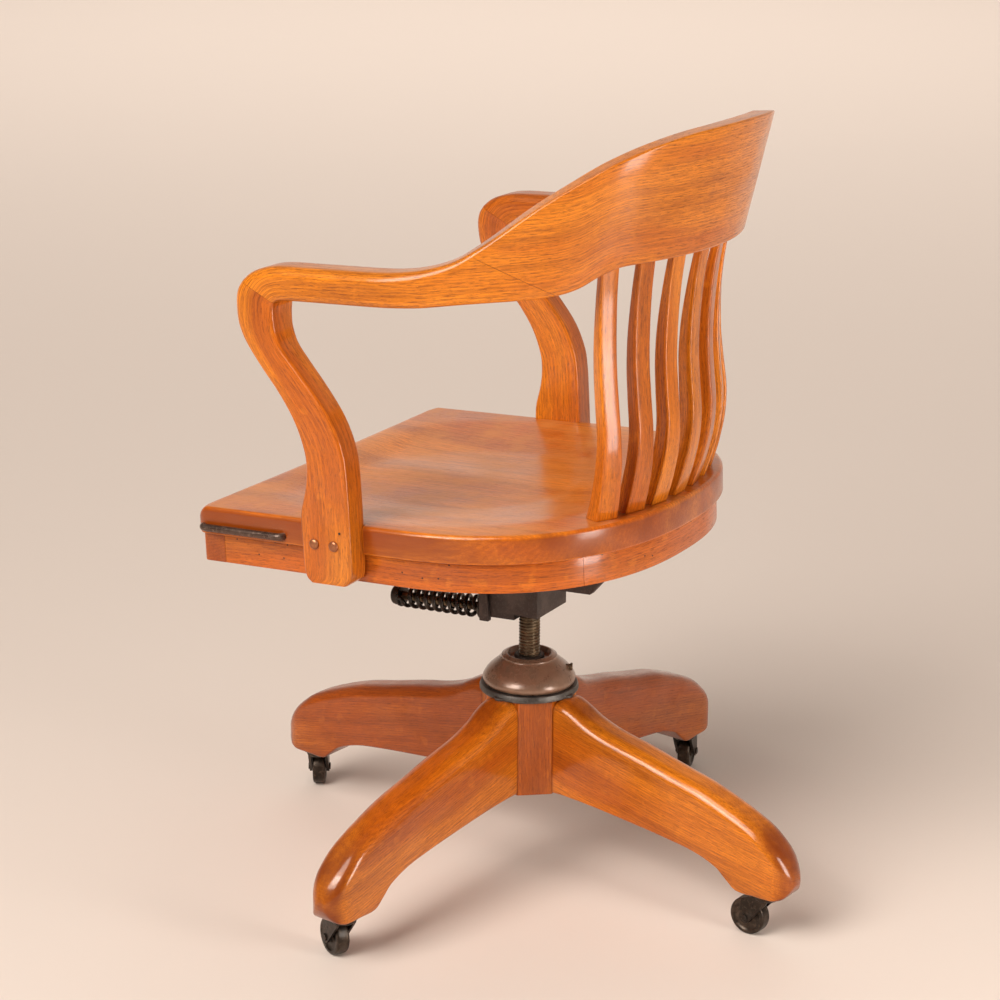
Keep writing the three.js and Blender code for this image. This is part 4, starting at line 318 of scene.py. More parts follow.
class Tree:
    """A material's node tree with its shader."""

    def __init__(self, name):
        self.material = bpy.data.materials.new(name)
        self.material.use_nodes = True
        self.nodes = self.material.node_tree.nodes
        self.shader = self.nodes["Principled BSDF"]

    def node(self, kind, inputs=None, **settings):
        made = self.nodes.new(f"ShaderNode{kind}")
        for key, value in settings.items():
            setattr(made, key, value)
        for key, value in (inputs or {}).items():
            self.feed(made.inputs[key], value)
        return made

    def value(self, output, kind, inputs=None, **settings):
        """One output of a new node."""
        return Value(self, self.node(kind, inputs, **settings).outputs[output])

    def feed(self, socket, value):
        if isinstance(value, Value):
            self.material.node_tree.links.new(value.socket, socket)
        else:
            socket.default_value = value

    def maths(self, kind, *values):
        vectors = any(isinstance(v, (tuple, Vector))
                      or isinstance(v, Value) and v.socket.type in ("VECTOR", "RGBA") for v in values)
        if vectors:
            values = [(v, v, v) if isinstance(v, (int, float)) else v for v in values]
        return self.value(0, "VectorMath" if vectors else "Math", dict(enumerate(values)), operation=kind)

    def place(self):
        return self.value("Object", "TexCoord")

    def attribute(self, name):
        return self.value("Vector", "Attribute", attribute_name=name, attribute_type="GEOMETRY")

    def parts(self, vector):
        made = self.node("SeparateXYZ", {"Vector": vector})
        return [Value(self, output) for output in made.outputs]

    def noise(self, vector, scale=1.0, detail=2.0, rough=0.5):
        return self.value("Fac", "TexNoise", {"Vector": vector, "Scale": scale,
                                              "Detail": detail, "Roughness": rough})

    def cells(self, wide, long, scale):
        """Spots strewn on a flat field: how far the nearest is, and its own colour."""
        flat = self.value("Vector", "CombineXYZ", {"X": wide, "Y": long})
        made = self.node("TexVoronoi", {"Vector": flat, "Scale": scale}, voronoi_dimensions="2D")
        return Value(self, made.outputs["Distance"]), Value(self, made.outputs["Color"])

    def step(self, value, low, high, first=0.0, last=1.0):
        return self.value("Result", "MapRange", {
            "Value": value, "From Min": low, "From Max": high, "To Min": first, "To Max": last},
            interpolation_type="SMOOTHSTEP")

    def mix(self, share, first, second):
        """Two colours mixed; the node numbers its colour sockets 6 and 7, and 2 going out."""
        first, second = (v if isinstance(v, Value) else (*v, 1) for v in (first, second))
        return self.value(2, "Mix", {0: share, 6: first, 7: second}, data_type="RGBA")

    def bump(self, height, strength, distance):
        return self.value("Normal", "Bump", {
            "Strength": strength, "Distance": distance, "Height": height})

    def finish(self, **sockets):
        for key, value in sockets.items():
            self.feed(self.shader.inputs[key.replace("_", " ")], value)
        return self.material


def oak(name, look, warmth=1.0, depth=1.0, holes=0.0, rough=0.36, worn=0.0, pores=1.0,
        bands=1.0, coat=0.17, ends=0.0):
    """Varnished oak whose grain runs along the third part of the piece's grain attribute."""
    t = Tree(name)
    grain = t.attribute("grain")
    heart_x, heart_y, oval = 0.021, 0.047, 2.2

    def tint(c):
        return c[0] * depth, c[1] * depth * warmth, c[2] * depth

    def drawn(wide, long, detail, rough, shift=None):
        """Noise that is finer across the grain than along it."""
        at = grain * (wide, wide, long)
        return t.noise(at + shift if shift else at, detail=detail, rough=rough)

    light, mid, dark = tint(look.oak_light), tint(look.oak_mid), tint(look.oak_dark)
    across, inward, along = t.parts(grain)
    drift = drawn(13.0, 2.4, 4.0, 0.55)
    far = t.maths("SQRT", (across + heart_x) * (across + heart_x)
                  + (inward + heart_y) * (inward + heart_y) * oval)
    ring = t.maths("FRACT", far * 215.0 + drift * 9.0)
    early = t.step(ring, 0.0, 0.3) * t.step(ring, 1.0, 0.45)
    patch = drawn(12.0, 2.4, 3.0, 0.5, (3.1, 1.7, 0.4))
    shade = drawn(26.0, 3.0, 4.0, 0.6, (0.7, 5.3, 2.1))
    band = drawn(260.0, 6.0, 3.0, 0.6)
    fibre = drawn(1500.0, 60.0, 2.0, 0.6)
    long_pore = drawn(1450.0, 105.0, 1.0, 0.4)
    short_pore = drawn(1900.0, 250.0, 1.0, 0.5, (4.0, 2.0, 7.0))
    limit = 0.66 - early * 0.07 - t.step(shade, 0.45, 0.75) * 0.025
    pore = t.step(long_pore - limit, 0.0, 0.05)
    speck = t.step(short_pore - limit, 0.005, 0.06)
    ray = t.step(t.noise(grain * (420.0, 50.0, 60.0), detail=1.5), 0.62, 0.72)
    colour = t.mix(t.step(patch, 0.4, 0.6), mid, light)
    for share, over in (
            (t.step(shade, 0.46, 0.72) * 0.48, dark), (t.step(band, 0.42, 0.7) * 0.32 * bands, dark),
            (early * 0.15 * bands, dark), (t.step(fibre, 0.35, 0.72) * 0.5, dark),
            (ray * 0.2, light), (speck * 0.42 * pores, look.pore), (pore * 0.5 * pores, look.pore)):
        colour = t.mix(share, colour, over)
    # Faces marked in the end attribute are darkened: end grain on the legs' noses, and on the seat also
    # painted shade on its edges.
    if ends:
        end = t.parts(t.attribute("end"))[0]
        colour = t.mix(end * t.step(shade, 0.25, 0.6, 0.45, 1.0) * ends, colour, dark)
    relief = 1.0 - pore * 0.8 - t.step(fibre, 0.3, 0.8) * 0.2
    if holes:
        spot, seed = t.cells(inward, along, 62.0)
        chance = t.parts(seed)[0]
        hole = t.step(spot, 0.075, 0.055) * t.step(chance, holes, holes - 0.01)
        colour = t.mix(hole * 0.92, colour, (0.03, 0.01, 0.003))
        relief = relief - hole
    smear = t.noise(t.place(), 23.0, detail=5.0, rough=0.6)
    # Top faces marked as rubbed are paled in patches: wear, and painted light on the seat's top.
    if worn:
        rubbed_and_lit_top = t.parts(t.attribute("rubbed_and_lit_top"))[0]
        colour = t.mix(t.step(smear, 0.3, 0.75) * rubbed_and_lit_top * worn, colour, (0.66, 0.245, 0.06))
    roughness = rough + t.step(smear, 0.35, 0.75) * 0.12 + pore * 0.12
    gloss = look.gloss * t.step(smear, 0.8, 0.3, 0.6, 1.0)
    return t.finish(Base_Color=colour, Roughness=roughness, Coat_Weight=gloss,
                    Coat_Roughness=coat, Coat_IOR=1.5, Specular_IOR_Level=0.3,
                    Specular_Tint=(1.0, 0.62, 0.32, 1), Normal=t.bump(relief, 0.3, 0.3 * MM))


def iron(name, base, worn, rough=0.5, grit=260.0, relief=0.4, metallic=0.6, wear=0.3, coat=0.0):
    """Dark old iron or steel with a cast or worn surface."""
    t = Tree(name)
    place = t.place()
    coarse = t.noise(place, 38.0, detail=5.0, rough=0.62)
    fine = t.noise(place, grit, detail=4.0, rough=0.6)
    dust = t.noise(place, 95.0, detail=3.0)
    colour = t.mix(t.step(coarse, 0.42, 0.72), base, worn)
    colour = t.mix(t.step(fine, 0.5, 0.75) * wear, colour, [min(1, c * 1.9) for c in worn])
    colour = t.mix(t.step(dust, 0.56, 0.75) * 0.35, colour, [c * 0.45 for c in base])
    roughness = rough + (coarse - 0.5) * 0.35 + (fine - 0.5) * 0.12
    metal = metallic - t.step(dust, 0.5, 0.75) * metallic * 0.55
    return t.finish(Base_Color=colour, Roughness=roughness, Metallic=metal, Coat_Weight=coat,
                    Coat_Roughness=0.2, Normal=t.bump(coarse * 0.6 + fine * 0.4, relief, 0.6 * MM))


def plain(name, colour, rough):
    t = Tree(name)
    soft = t.noise(t.place(), 3.0, detail=3.0)
    return t.finish(Base_Color=t.mix(soft * 0.12, colour, [c * 0.97 for c in colour]),
                    Roughness=rough + soft * 0.05)


MATERIALS = {}


def material(name):
    if name not in MATERIALS:
        raise RuntimeError(f"the materials come first: {name}")
    return MATERIALS[name]


# Shapes.
def within(value):
    return max(0, min(1, value))


def eased(value):
    """From 0 to 1 with a soft start and end."""
    value = within(value)
    return value * value * (3 - 2 * value)


def curve(first, first_slope, last, last_slope, t):
    """A smooth value between two, from the slope at each end for the whole span."""
    return (first * (2 * t ** 3 - 3 * t ** 2 + 1) + first_slope * (t ** 3 - 2 * t ** 2 + t)
            + last * (3 * t ** 2 - 2 * t ** 3) + last_slope * (t ** 3 - t ** 2))


def through(pairs, at):
    """A smooth value through pairs of place and value."""
    if at <= pairs[0][0]:
        return pairs[0][1]
    if at >= pairs[-1][0]:
        return pairs[-1][1]
    i = next(k for k in range(len(pairs) - 1) if pairs[k + 1][0] >= at)

    def slope(k):
        if k in (0, len(pairs) - 1):
            return 0
        return (pairs[k + 1][1] - pairs[k - 1][1]) / (pairs[k + 1][0] - pairs[k - 1][0])

    (x0, y0), (x1, y1) = pairs[i], pairs[i + 1]
    h = x1 - x0
    return curve(y0, slope(i) * h, y1, slope(i + 1) * h, (at - x0) / h)


def arc(cx, cy, radius, start, end, steps):
    turns = [math.radians(start + (end - start) * i / steps) for i in range(steps + 1)]
    return [(cx + radius * math.cos(a), cy + radius * math.sin(a)) for a in turns]


def section(w, h, low, high, steps, sides, rise):
    """A rounded section, its lower and upper corners; x runs inward and y upward."""
    most = min(w, h) * 0.45
    a, b = min(low, most), min(high, most)
    corners = [arc(a, a, a, 180, 270, steps), arc(w - a, a, a, 270, 360, steps),
               arc(w - b, h - b, b, 0, 90, steps), arc(b, h - b, b, 90, 180, steps)]
    points = []
    for k, corner in enumerate(corners):
        points += corner
        (x0, y0), (x1, y1) = corner[-1], corners[(k + 1) % 4][0]
        count = sides if k % 2 == 0 else rise
        points += [(x0 + (x1 - x0) * i / count, y0 + (y1 - y0) * i / count) for i in range(1, count)]
    return points


def station(at, inward, upward, outline):
    return {"at": Vector(at), "inward": Vector(inward), "upward": Vector(upward), "outline": outline}


def rings_of(stations, fine):
    """Rings of points with their grain, with more rings on a smooth curve between them."""
    run = 0.0
    rows = []
    before = None
    for s in stations:
        middle = s["at"] + s["inward"] * 0.5 * max(x for x, _ in s["outline"])
        if before is not None:
            run += (middle - before).length
        before = middle
        rows.append([(*(s["at"] + s["inward"] * x + s["upward"] * y), x, y, run)
                     for x, y in s["outline"]])
    rows = np.array(rows)
    return smooth_rows(rows, fine)


def smooth_rows(rows, fine):
    """The rings with others between them, so that each point runs on a smooth curve."""
    middles = rows[:, :, :3].mean(1)
    place = np.concatenate([[0], np.cumsum(
        np.maximum(np.linalg.norm(np.diff(middles, axis=0), axis=1), 1e-7))])
    slopes = np.empty_like(rows)
    slopes[0] = (rows[1] - rows[0]) / (place[1] - place[0])
    slopes[-1] = (rows[-1] - rows[-2]) / (place[-1] - place[-2])
    spans = (place[2:] - place[:-2]).reshape(-1, 1, 1)
    slopes[1:-1] = (rows[2:] - rows[:-2]) / spans
    made = []
    for i, h in enumerate(np.diff(place)):
        made += [curve(rows[i], slopes[i] * h, rows[i + 1], slopes[i + 1] * h, k / fine)
                 for k in range(fine)]
    return np.array([*made, rows[-1]])


def loft(rows):
    """A closed skin drawn out ring by ring; each point is a place and its grain."""
    bm = bmesh.new()
    grain = bm.verts.layers.float_vector.new("grain")
    bmesh.ops.create_circle(bm, cap_ends=True, segments=rows.shape[1], radius=1)
    bm.faces.ensure_lookup_table()
    ring = list(bm.faces[0].verts)
    for i, row in enumerate(rows):
        if i:
            edges = [bm.edges.get((ring[k - 1], ring[k])) for k in range(len(ring))]
            made = bmesh.ops.extrude_edge_only(bm, edges=edges)["geom"]
            fresh = {v for v in made if isinstance(v, bmesh.types.BMVert)}
            ring = [next(e.other_vert(v) for e in v.link_edges if e.other_vert(v) in fresh) for v in ring]
        for v, point in zip(ring, row):
            v.co = point[:3]
            v[grain] = point[3:]
    bmesh.ops.contextual_create(bm, geom=[bm.edges.get((ring[k - 1], ring[k])) for k in range(len(ring))])
    return bm


def turned(profile, segments=48, matrix=LEVEL, turns=1, pitch=0.0):
    """Pairs of radius and height turned round the Z axis, or wound into a thread by a pitch."""
    bm = bmesh.new()
    grain = bm.verts.layers.float_vector.new("grain")
    chain = [bmesh.ops.create_vert(bm, co=(r, 0, z))["vert"][0] for r, z in profile]
    edges = [bmesh.ops.contextual_create(bm, geom=pair)["edges"][0] for pair in zip(chain, chain[1:])]
    bmesh.ops.spin(bm, geom=chain + edges, cent=(0, 0, 0), axis=UP,
                   dvec=(0, 0, pitch / segments), angle=math.tau * turns,
                   steps=segments * turns, use_merge=not pitch, use_duplicate=False)
    bmesh.ops.remove_doubles(bm, verts=bm.verts, dist=1e-6)
    for v in bm.verts:
        v[grain] = v.co
    bmesh.ops.transform(bm, matrix=matrix, verts=bm.verts)
    return bm


def wire(line, radius, sides, lift, axes):
    """A round wire along a line; axes gives a ring's two axes from its point and the way on."""
    stations = []
    for i, p in enumerate(line):
        along = (line[min(i + 1, len(line) - 1)] - line[max(i - 1, 0)]).normalized()
        stations.append(station(p + UP * lift, *axes(p, along),
                                arc(0, 0, radius, 0, 360 - 360 / sides, sides - 1)))
    return loft(rings_of(stations, 1))


def cut(bm, point, normal):
    """Takes away what lies on the normal's side of a plane and closes the end."""
    geom = bm.verts[:] + bm.edges[:] + bm.faces[:]
    made = bmesh.ops.bisect_plane(bm, geom=geom, dist=1e-7, plane_co=point, plane_no=normal,
                                  clear_outer=True)
    edges = [e for e in made["geom_cut"] if isinstance(e, bmesh.types.BMEdge)]
    bmesh.ops.contextual_create(bm, geom=edges)


def from_node(node, width, grain=None):
    """A copy of a solid with its sharp edges softened; grain gives the axes of its wood."""
    bm = bmesh.new()
    bm.from_mesh(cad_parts[node].data)
    bmesh.ops.remove_doubles(bm, verts=bm.verts, dist=WELD)
    bmesh.ops.dissolve_limit(bm, angle_limit=FLAT, verts=bm.verts, edges=bm.edges)
    edges = [e for e in bm.edges if len(e.link_faces) == 2 and e.calc_face_angle(0) > SHARP]
    if edges:
        bmesh.ops.bevel(bm, geom=edges, offset=width, offset_type="OFFSET", segments=2,
                        profile=0.5, affect="EDGES", clamp_overlap=True, material=-1)
    layer = bm.verts.layers.float_vector.new("grain")
    axes = grain or Matrix.Identity(3)
    for v in bm.verts:
        v[layer] = axes @ v.co
    return bm


def mesh_of(name, bm):
    mesh = bpy.data.meshes.new(name)
    bm.to_mesh(mesh)
    bm.free()
    return mesh


def add(name, data):
    obj = bpy.data.objects.new(name, data)
    bpy.context.scene.collection.objects.link(obj)
    return obj


def piece(name, bm, look, body, nodes, matrix=LEVEL, offset=(0, 0, 0), angle=40, even=False):
    """Makes the object, on its body, in place of the solids it stands for."""
    if matrix is not LEVEL:
        bmesh.ops.transform(bm, matrix=matrix, verts=bm.verts)
    layer = bm.verts.layers.float_vector.get("grain")
    for v in bm.verts:
        v[layer] = v[layer] + Vector(offset)
    bmesh.ops.recalc_face_normals(bm, faces=bm.faces)
    mesh = mesh_of(name, bm)
    obj = add(name, mesh)
    mesh.shade_smooth()
    mesh.set_sharp_from_angle(angle=math.radians(angle))
    mesh.materials.append(material(look))
    if even:
        obj.modifiers.new("Even shading", "WEIGHTED_NORMAL").keep_sharp = True
    if body:
        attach(obj, body)
    if nodes:
        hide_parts(*nodes)
    return obj


def wood(node, bm, look, offset=(0, 0, 0), matrix=LEANED, body="seat", even=False):
    return piece(f"{node}_wood", bm, look, body, [node], matrix, offset, even=even)


def copies(ending, rows):
    """Softened copies of solids, from rows like those of HEAD_COPIES."""
    for node, look, body, slot, width in rows:
        piece(f"{node}_{ending}", from_node(node, width * MM), look, body, [node], even=True)


def mirror(bm):
    """The same shape on the other side, its grain counted the other way along."""
    bmesh.ops.scale(bm, vec=(-1, 1, 1), verts=bm.verts)
    bmesh.ops.reverse_faces(bm, faces=bm.faces)
    layer = bm.verts.layers.float_vector["grain"]
    for v in bm.verts:
        v[layer] = v[layer] * Vector((1, 1, -1))
    return bm


def back_edge(s, degrees):
    """A point of the seat's back curve and the way out from it."""
    a = math.radians(degrees)
    e = 2 / s.fullness
    c, n = math.cos(a), max(math.sin(a), 0)
    depth = s.back - s.bow_start
    x = s.half * math.copysign(abs(c) ** e, c)
    y = depth * n ** e
    out = Vector((math.copysign(abs(x / s.half) ** (s.fullness - 1), x) / s.half,
                  (y / depth) ** (s.fullness - 1) / depth)).normalized()
    return x, s.bow_start + y, out


def bow_station(b, start, degrees):
    """One section of the bow, at its degrees from the back."""
    a = abs(degrees)
    top = b.arm_top + (b.crest_top - b.arm_top) * through(CREST_TOP_SHARES, a)
    low = b.arm_low + (b.crest_low - b.arm_low) * through(CREST_LOW_SHARES, a)
    lean = b.lean * through(LEAN_SHARES, a)
    blend = through(THICK_SHARES, a)
    radius = b.radius + (b.arm_out - b.radius) * (a / 90) ** 2
    thick = b.crest_thick + (b.arm_thick - b.crest_thick) * blend
    out = outward(degrees)
    foot = radius + lean * (low - b.level)
    head = radius + lean * (top - b.level)
    at = Vector((out.x * foot, start + out.y * foot, low))
    up = Vector((out.x * head, start + out.y * head, top)) - at
    rounds = [CREST_ROUND + (r - CREST_ROUND) * blend for r in ARM_ROUND]
    return station(at, -out, up.normalized(), section(thick, up.length, *rounds, 5, 4, 6))


def outward(degrees):
    """The way out from the middle, at degrees from the back."""
    t = math.radians(degrees)
    return Vector((math.sin(t), math.cos(t), 0))


def upright(normal):
    """A plane's normal turned to point upward."""
    return -normal if normal.z < 0 else normal


def scarf(b, start):
    """The plane of the joint between the crest rail and the left arm."""
    low = bow_station(b, start, b.scarf_back)["at"]
    front = bow_station(b, start, b.scarf_front)
    high = front["at"] + front["upward"] * max(y for _, y in front["outline"])
    across = outward((b.scarf_back + b.scarf_front) / 2)
    return low, upright(across.cross(high - low).normalized())


def pair_station(b, front, rear, thick, low, high, shift=0.0):
    """A section of the arm or post between two points of the side view."""
    up = Vector((0, front[0] - rear[0], front[1] - rear[1]))
    height = up.length
    up.normalize()
    along = Vector((0, -up.z, up.y))
    at = Vector((b.arm_out, rear[0], rear[1])) + along * shift
    return station(at, (-1, 0, 0), up, section(thick, height, low, high, 5, 4, 6))


def elbow_point(b, y, z):
    return b.elbow + y * b.elbow_run, b.arm_top - z * (b.arm_top - b.arm_low)


class ChairOperator:
    """What the operators share."""

    bl_options = {"REGISTER", "UNDO"}

    def execute(self, context):
        self.build(context.scene.chair)
        return {"FINISHED"}


class CHAIR_OT_materials(ChairOperator, bpy.types.Operator):
    """Makes the wood and metal finishes"""

    bl_idname = "chair.materials"
    bl_label = "Materials"

    def build(self, chair):
        for name, given in WOODS.items():
            MATERIALS[name] = oak(name, chair.look, **given)
        for name, (base, worn, given) in METALS.items():
            MATERIALS[name] = iron(name, base, worn, **given)
        MATERIALS["floor"] = plain("floor", (0.74, 0.63, 0.55), 0.8)


def seat_outline(s):
    half = [((s.half - s.corner) * i / 24, s.front) for i in range(25)]
    half += arc(s.half - s.corner, s.front + s.corner, s.corner, -75, 0, 5)
    start = s.front + s.corner
    half += [(s.half, start + (s.bow_start - start) * i / 22) for i in range(1, 22)]
    half += [back_edge(s, 90 * i / 60)[:2] for i in range(61)]
    return half + [(-x, y) for x, y in reversed(half[1:-1])]


def seat_dish(s, x, y):
    """How deep the board is scooped out, less the ridge between the sitter's legs."""
    ridge_half, front_fade = 42 * MM, 55 * MM
    back, front = s.back - s.rim, s.front + s.roll
    middle = (back + front) / 2
    v = (y - middle) / (back - middle)
    d = math.hypot(x / (s.half - s.roll), v if v > 0 else v * 0.75)
    bowl = max(0, 1 - d * d) ** 1.2
    ridge = math.exp(-((x / ridge_half) ** 2)) * within(0.5 - v) * max(0, 1 - d)
    return (s.dish * min(1, bowl * 1.5) - s.pommel * ridge) * eased((y - front) / front_fade)


def seat_board(s):
    outline = seat_outline(s)
    low, under, roll_steps, top_rings = s.top - s.thick, 3 * MM, 8, 33
    rows = []

    def ring(pull, height, surface=False):
        row = []
        for x, y in outline:
            roll = s.edge + (s.roll - s.edge) * within((s.front + s.corner - y) / s.corner)
            reach = math.hypot(x, y - s.bow_start)
            share = 1 - pull(roll, reach) / reach
            px, py = x * share, s.bow_start + (y - s.bow_start) * share
            pz = s.top - seat_dish(s, px, py) if surface else height(roll)
            row.append((px, py, pz, px, pz, py))
        rows.append(row)

    for pull, rise in ((1, 0), (0.3, 0.3), (0, 1)):
        ring(lambda r, reach: under * pull, lambda r: low + under * rise)
    for i in range(roll_steps + 1):
        a = math.radians(90 * i / roll_steps)
        ring(lambda r, reach: r * (1 - math.cos(a)),
             lambda r: s.top - min(r, s.thick * 0.6) * (1 - math.sin(a)))
    for i in range(top_rings):
        share = 0.97 * ((i + 1) / top_rings) ** 1.15
        ring(lambda r, reach: max(r, reach * share), None, surface=True)
    bm = loft(np.array(rows))
    bmesh.ops.recalc_face_normals(bm, faces=bm.faces)
    bm.normal_update()
    # Top faces are marked to be paled in patches: wear, and painted light on the top.
    bm.verts.layers.float_vector.new("rubbed_and_lit_top")
    end = bm.verts.layers.float_vector.new("end")
    rubbed_and_lit_top = bm.verts.layers.float_vector["rubbed_and_lit_top"]
    for v in bm.verts:
        v[rubbed_and_lit_top] = (within(v.normal.z * 5 - 4), 0, 0)
        # Upright faces are marked to be darkened: end grain at front and back, painted shade on the side
        # edges.
        v[end] = (within(1 - abs(v.normal.z) * 1.5), 0, 0)
    board = piece("seat_board_top", bm, "oak_seat", "seat", ["seat_board"],
                  LEANED, offset=(0.3, -0.4, 0.1))
    for side in (1, -1):
        seat_notch(board, s, side)


def seat_notch(board, s, side):
    """The rebate in the board's edge that a post stands in."""
    inner, outer = s.half - s.rail_inset, s.half + OVERRUN
    middle, width, height, sink = -90.6 * MM, 61.2 * MM, 60 * MM, 15 * MM
    bm = bmesh.new()
    bmesh.ops.create_cube(bm, size=1)
    bmesh.ops.scale(bm, vec=(outer - inner, width, height), verts=bm.verts)
    bmesh.ops.translate(bm, vec=(side * (inner + outer) / 2, middle, s.top - sink), verts=bm.verts)
    bmesh.ops.transform(bm, matrix=LEANED, verts=bm.verts)
    mesh = mesh_of("notch", bm)
    tool = add("notch", mesh)
    taking = board.modifiers.new("Notch", "BOOLEAN")
    taking.operation = "DIFFERENCE"
    taking.solver = "EXACT"
    taking.object = tool
    bpy.context.view_layer.update()
    seen = board.evaluated_get(bpy.context.evaluated_depsgraph_get())
    made = bpy.data.meshes.new_from_object(seen)
    board.modifiers.clear()
    old = board.data
    board.data = made
    made.name = old.name
    bpy.data.meshes.remove(old)
    bpy.data.objects.remove(tool)
    bpy.data.meshes.remove(mesh)


def seat_band(s, points):
    """A rail under the board's edge, and how far its grain has run at its end."""
    low = s.top - s.thick - GAP - s.rail_height
    stations = [station((x - n.x * s.rail_inset, y - n.y * s.rail_inset, low), (-n.x, -n.y, 0), UP,
                        section(s.rail_thick, s.rail_height, 1.4 * MM, 0.8 * MM, 3, 3, 3))
                for x, y, n in points]
    rows = rings_of(stations, 1)
    return loft(rows), rows[-1][0][5]


def seat_rails(s):
    """Three rails in one line, so that the grain runs on from each to the next."""
    set_back, front_thick, joint = 3 * MM, 28.5 * MM, 52
    grain = Vector((0.11, 0.02, 0.3))
    front = s.front + set_back + front_thick + GAP
    points = [(s.half, front + (s.bow_start - front) * i / 12, Vector((1, 0))) for i in range(13)]
    points += [back_edge(s, joint * i / 40) for i in range(1, 41)]
    left, run = seat_band(s, points)
    wood("side_rail_left", left, "oak_rail", offset=grain)
    right, _ = seat_band(s, points)
    flatter = 1.4
    start = joint + math.degrees(GAP / (s.half - s.rail_inset - s.rail_thick)) * flatter
    points = [back_edge(s, start + (180 - 2 * start) * i / 70) for i in range(71)]
    back, round_back = seat_band(s, points)
    wood("back_rail", back, "oak_rail", offset=grain + UP * run)
    wood("side_rail_right", mirror(right), "oak_rail", offset=grain + UP * (2 * run + round_back))
    along_x = Matrix(((0, 1, 0), (0, 0, 1), (1, 0, 0)))
    for k, node in enumerate(("front_rail", "front_batten", "rear_batten")):
        rail = wood(node, from_node(node, 1.2 * MM, along_x), "oak_frame",
                    offset=(0.1 * k, 0.3 * k, 0.2), matrix=LEVEL, even=True)
        rail.data.materials.append(material("oak_end"))
        for face in rail.data.polygons:
            face.material_index = 1 if abs(face.normal.x) > 0.9 else 0


class CHAIR_OT_seat(ChairOperator, bpy.types.Operator):
    """Builds the seat board, its rails and its battens"""

    bl_idname = "chair.seat"
    bl_label = "Seat"

    def build(self, chair):
        seat_board(chair.seat)
        seat_rails(chair.seat)


def back_crest(chair):
    """The crest rail; gives the run of its grain from its right end to each degree."""
    b, start = chair.bow, chair.seat.bow_start
    end = b.scarf_front + SCARF_SPARE
    turns = [-end + 2 * end * i / 140 for i in range(141)]
    rows = rings_of([bow_station(b, start, turn) for turn in turns], 1)
    bm = loft(rows)
    low, up = scarf(b, start)
    for side in (Vector((1, 1, 1)), Vector((-1, 1, 1))):
        cut(bm, (low + up * GAP / 2) * side, -up * side)
    wood("crest_rail", bm, "oak_arms", CREST_GRAIN)
    return lambda degrees: float(np.interp(degrees, turns, rows[:, 0, 5]))


def back_arm(chair):
    b, start = chair.bow, chair.seat.bow_start
    stations = [bow_station(b, start, turn)
                for turn in (*np.arange(b.scarf_back - SCARF_SPARE, 90, 4), 90)]
    level = b.elbow + b.elbow_run * ARM_ELBOW_SHARES[0][0][0]
    for i in range(1, 4):
        y = start + (level - start) * i / 4
        stations.append(pair_station(b, (y, b.arm_top), (y, b.arm_low), b.arm_thick, *ARM_ROUND))
    for i, (front, rear) in enumerate(ARM_ELBOW_SHARES):
        shift = -GAP / 2 if i == len(ARM_ELBOW_SHARES) - 1 else 0
        stations.append(pair_station(b, elbow_point(b, *front), elbow_point(b, *rear),
                                     b.arm_thick, *ARM_ROUND, shift))
    bm = loft(rings_of(stations, chair.fine))
    low, up = scarf(b, start)
    cut(bm, low - up * GAP / 2, up)
    return bm


def back_arms(chair, crest_run):
    """Two arms whose grain runs on from the crest rail's."""
    joint = chair.bow.scarf_back - SCARF_SPARE
    wood("arm_left", back_arm(chair), "oak_arms", CREST_GRAIN + UP * crest_run(joint))
    wood("arm_right", mirror(back_arm(chair)), "oak_arms",
         CREST_GRAIN + UP * crest_run(-joint))


def back_post(chair):
    b, s = chair.bow, chair.seat
    foot_thick = b.arm_out - (s.half - s.rail_inset + GAP)
    neck_thick, floor, rear_y, depth = 41 * MM, 396.5 * MM, -60.5 * MM, 60 * MM
    stations = []
    for i, (front, rear) in enumerate(POST_SHARES):
        part = eased((i - 1) / 8)
        thick = neck_thick + (foot_thick - neck_thick) * part if i else b.arm_thick
        rounds = [r + (FOOT_ROUND - r) * part for r in ARM_ROUND]
        stations.append(pair_station(b, elbow_point(b, *front), elbow_point(b, *rear), thick,
                                     *rounds, 0 if i else GAP / 2))
    top = elbow_point(b, 0, POST_SHARES[-1][1][1])[1]
    for rise, drawn in FOOT_SHARES:
        z = floor + (top - floor) * rise
        stations.append(pair_station(b, (rear_y - depth * (1 - drawn), z),
                                     (rear_y - depth * drawn, z), foot_thick, FOOT_ROUND, FOOT_ROUND))
    return loft(rings_of(stations, chair.fine))


def back_posts(chair):
    wood("post_left", back_post(chair), "oak_arms", offset=(0.25, 0.07, 0.2))
    wood("post_right", mirror(back_post(chair)), "oak_frame", offset=(0.35, 0.27, 1.2))


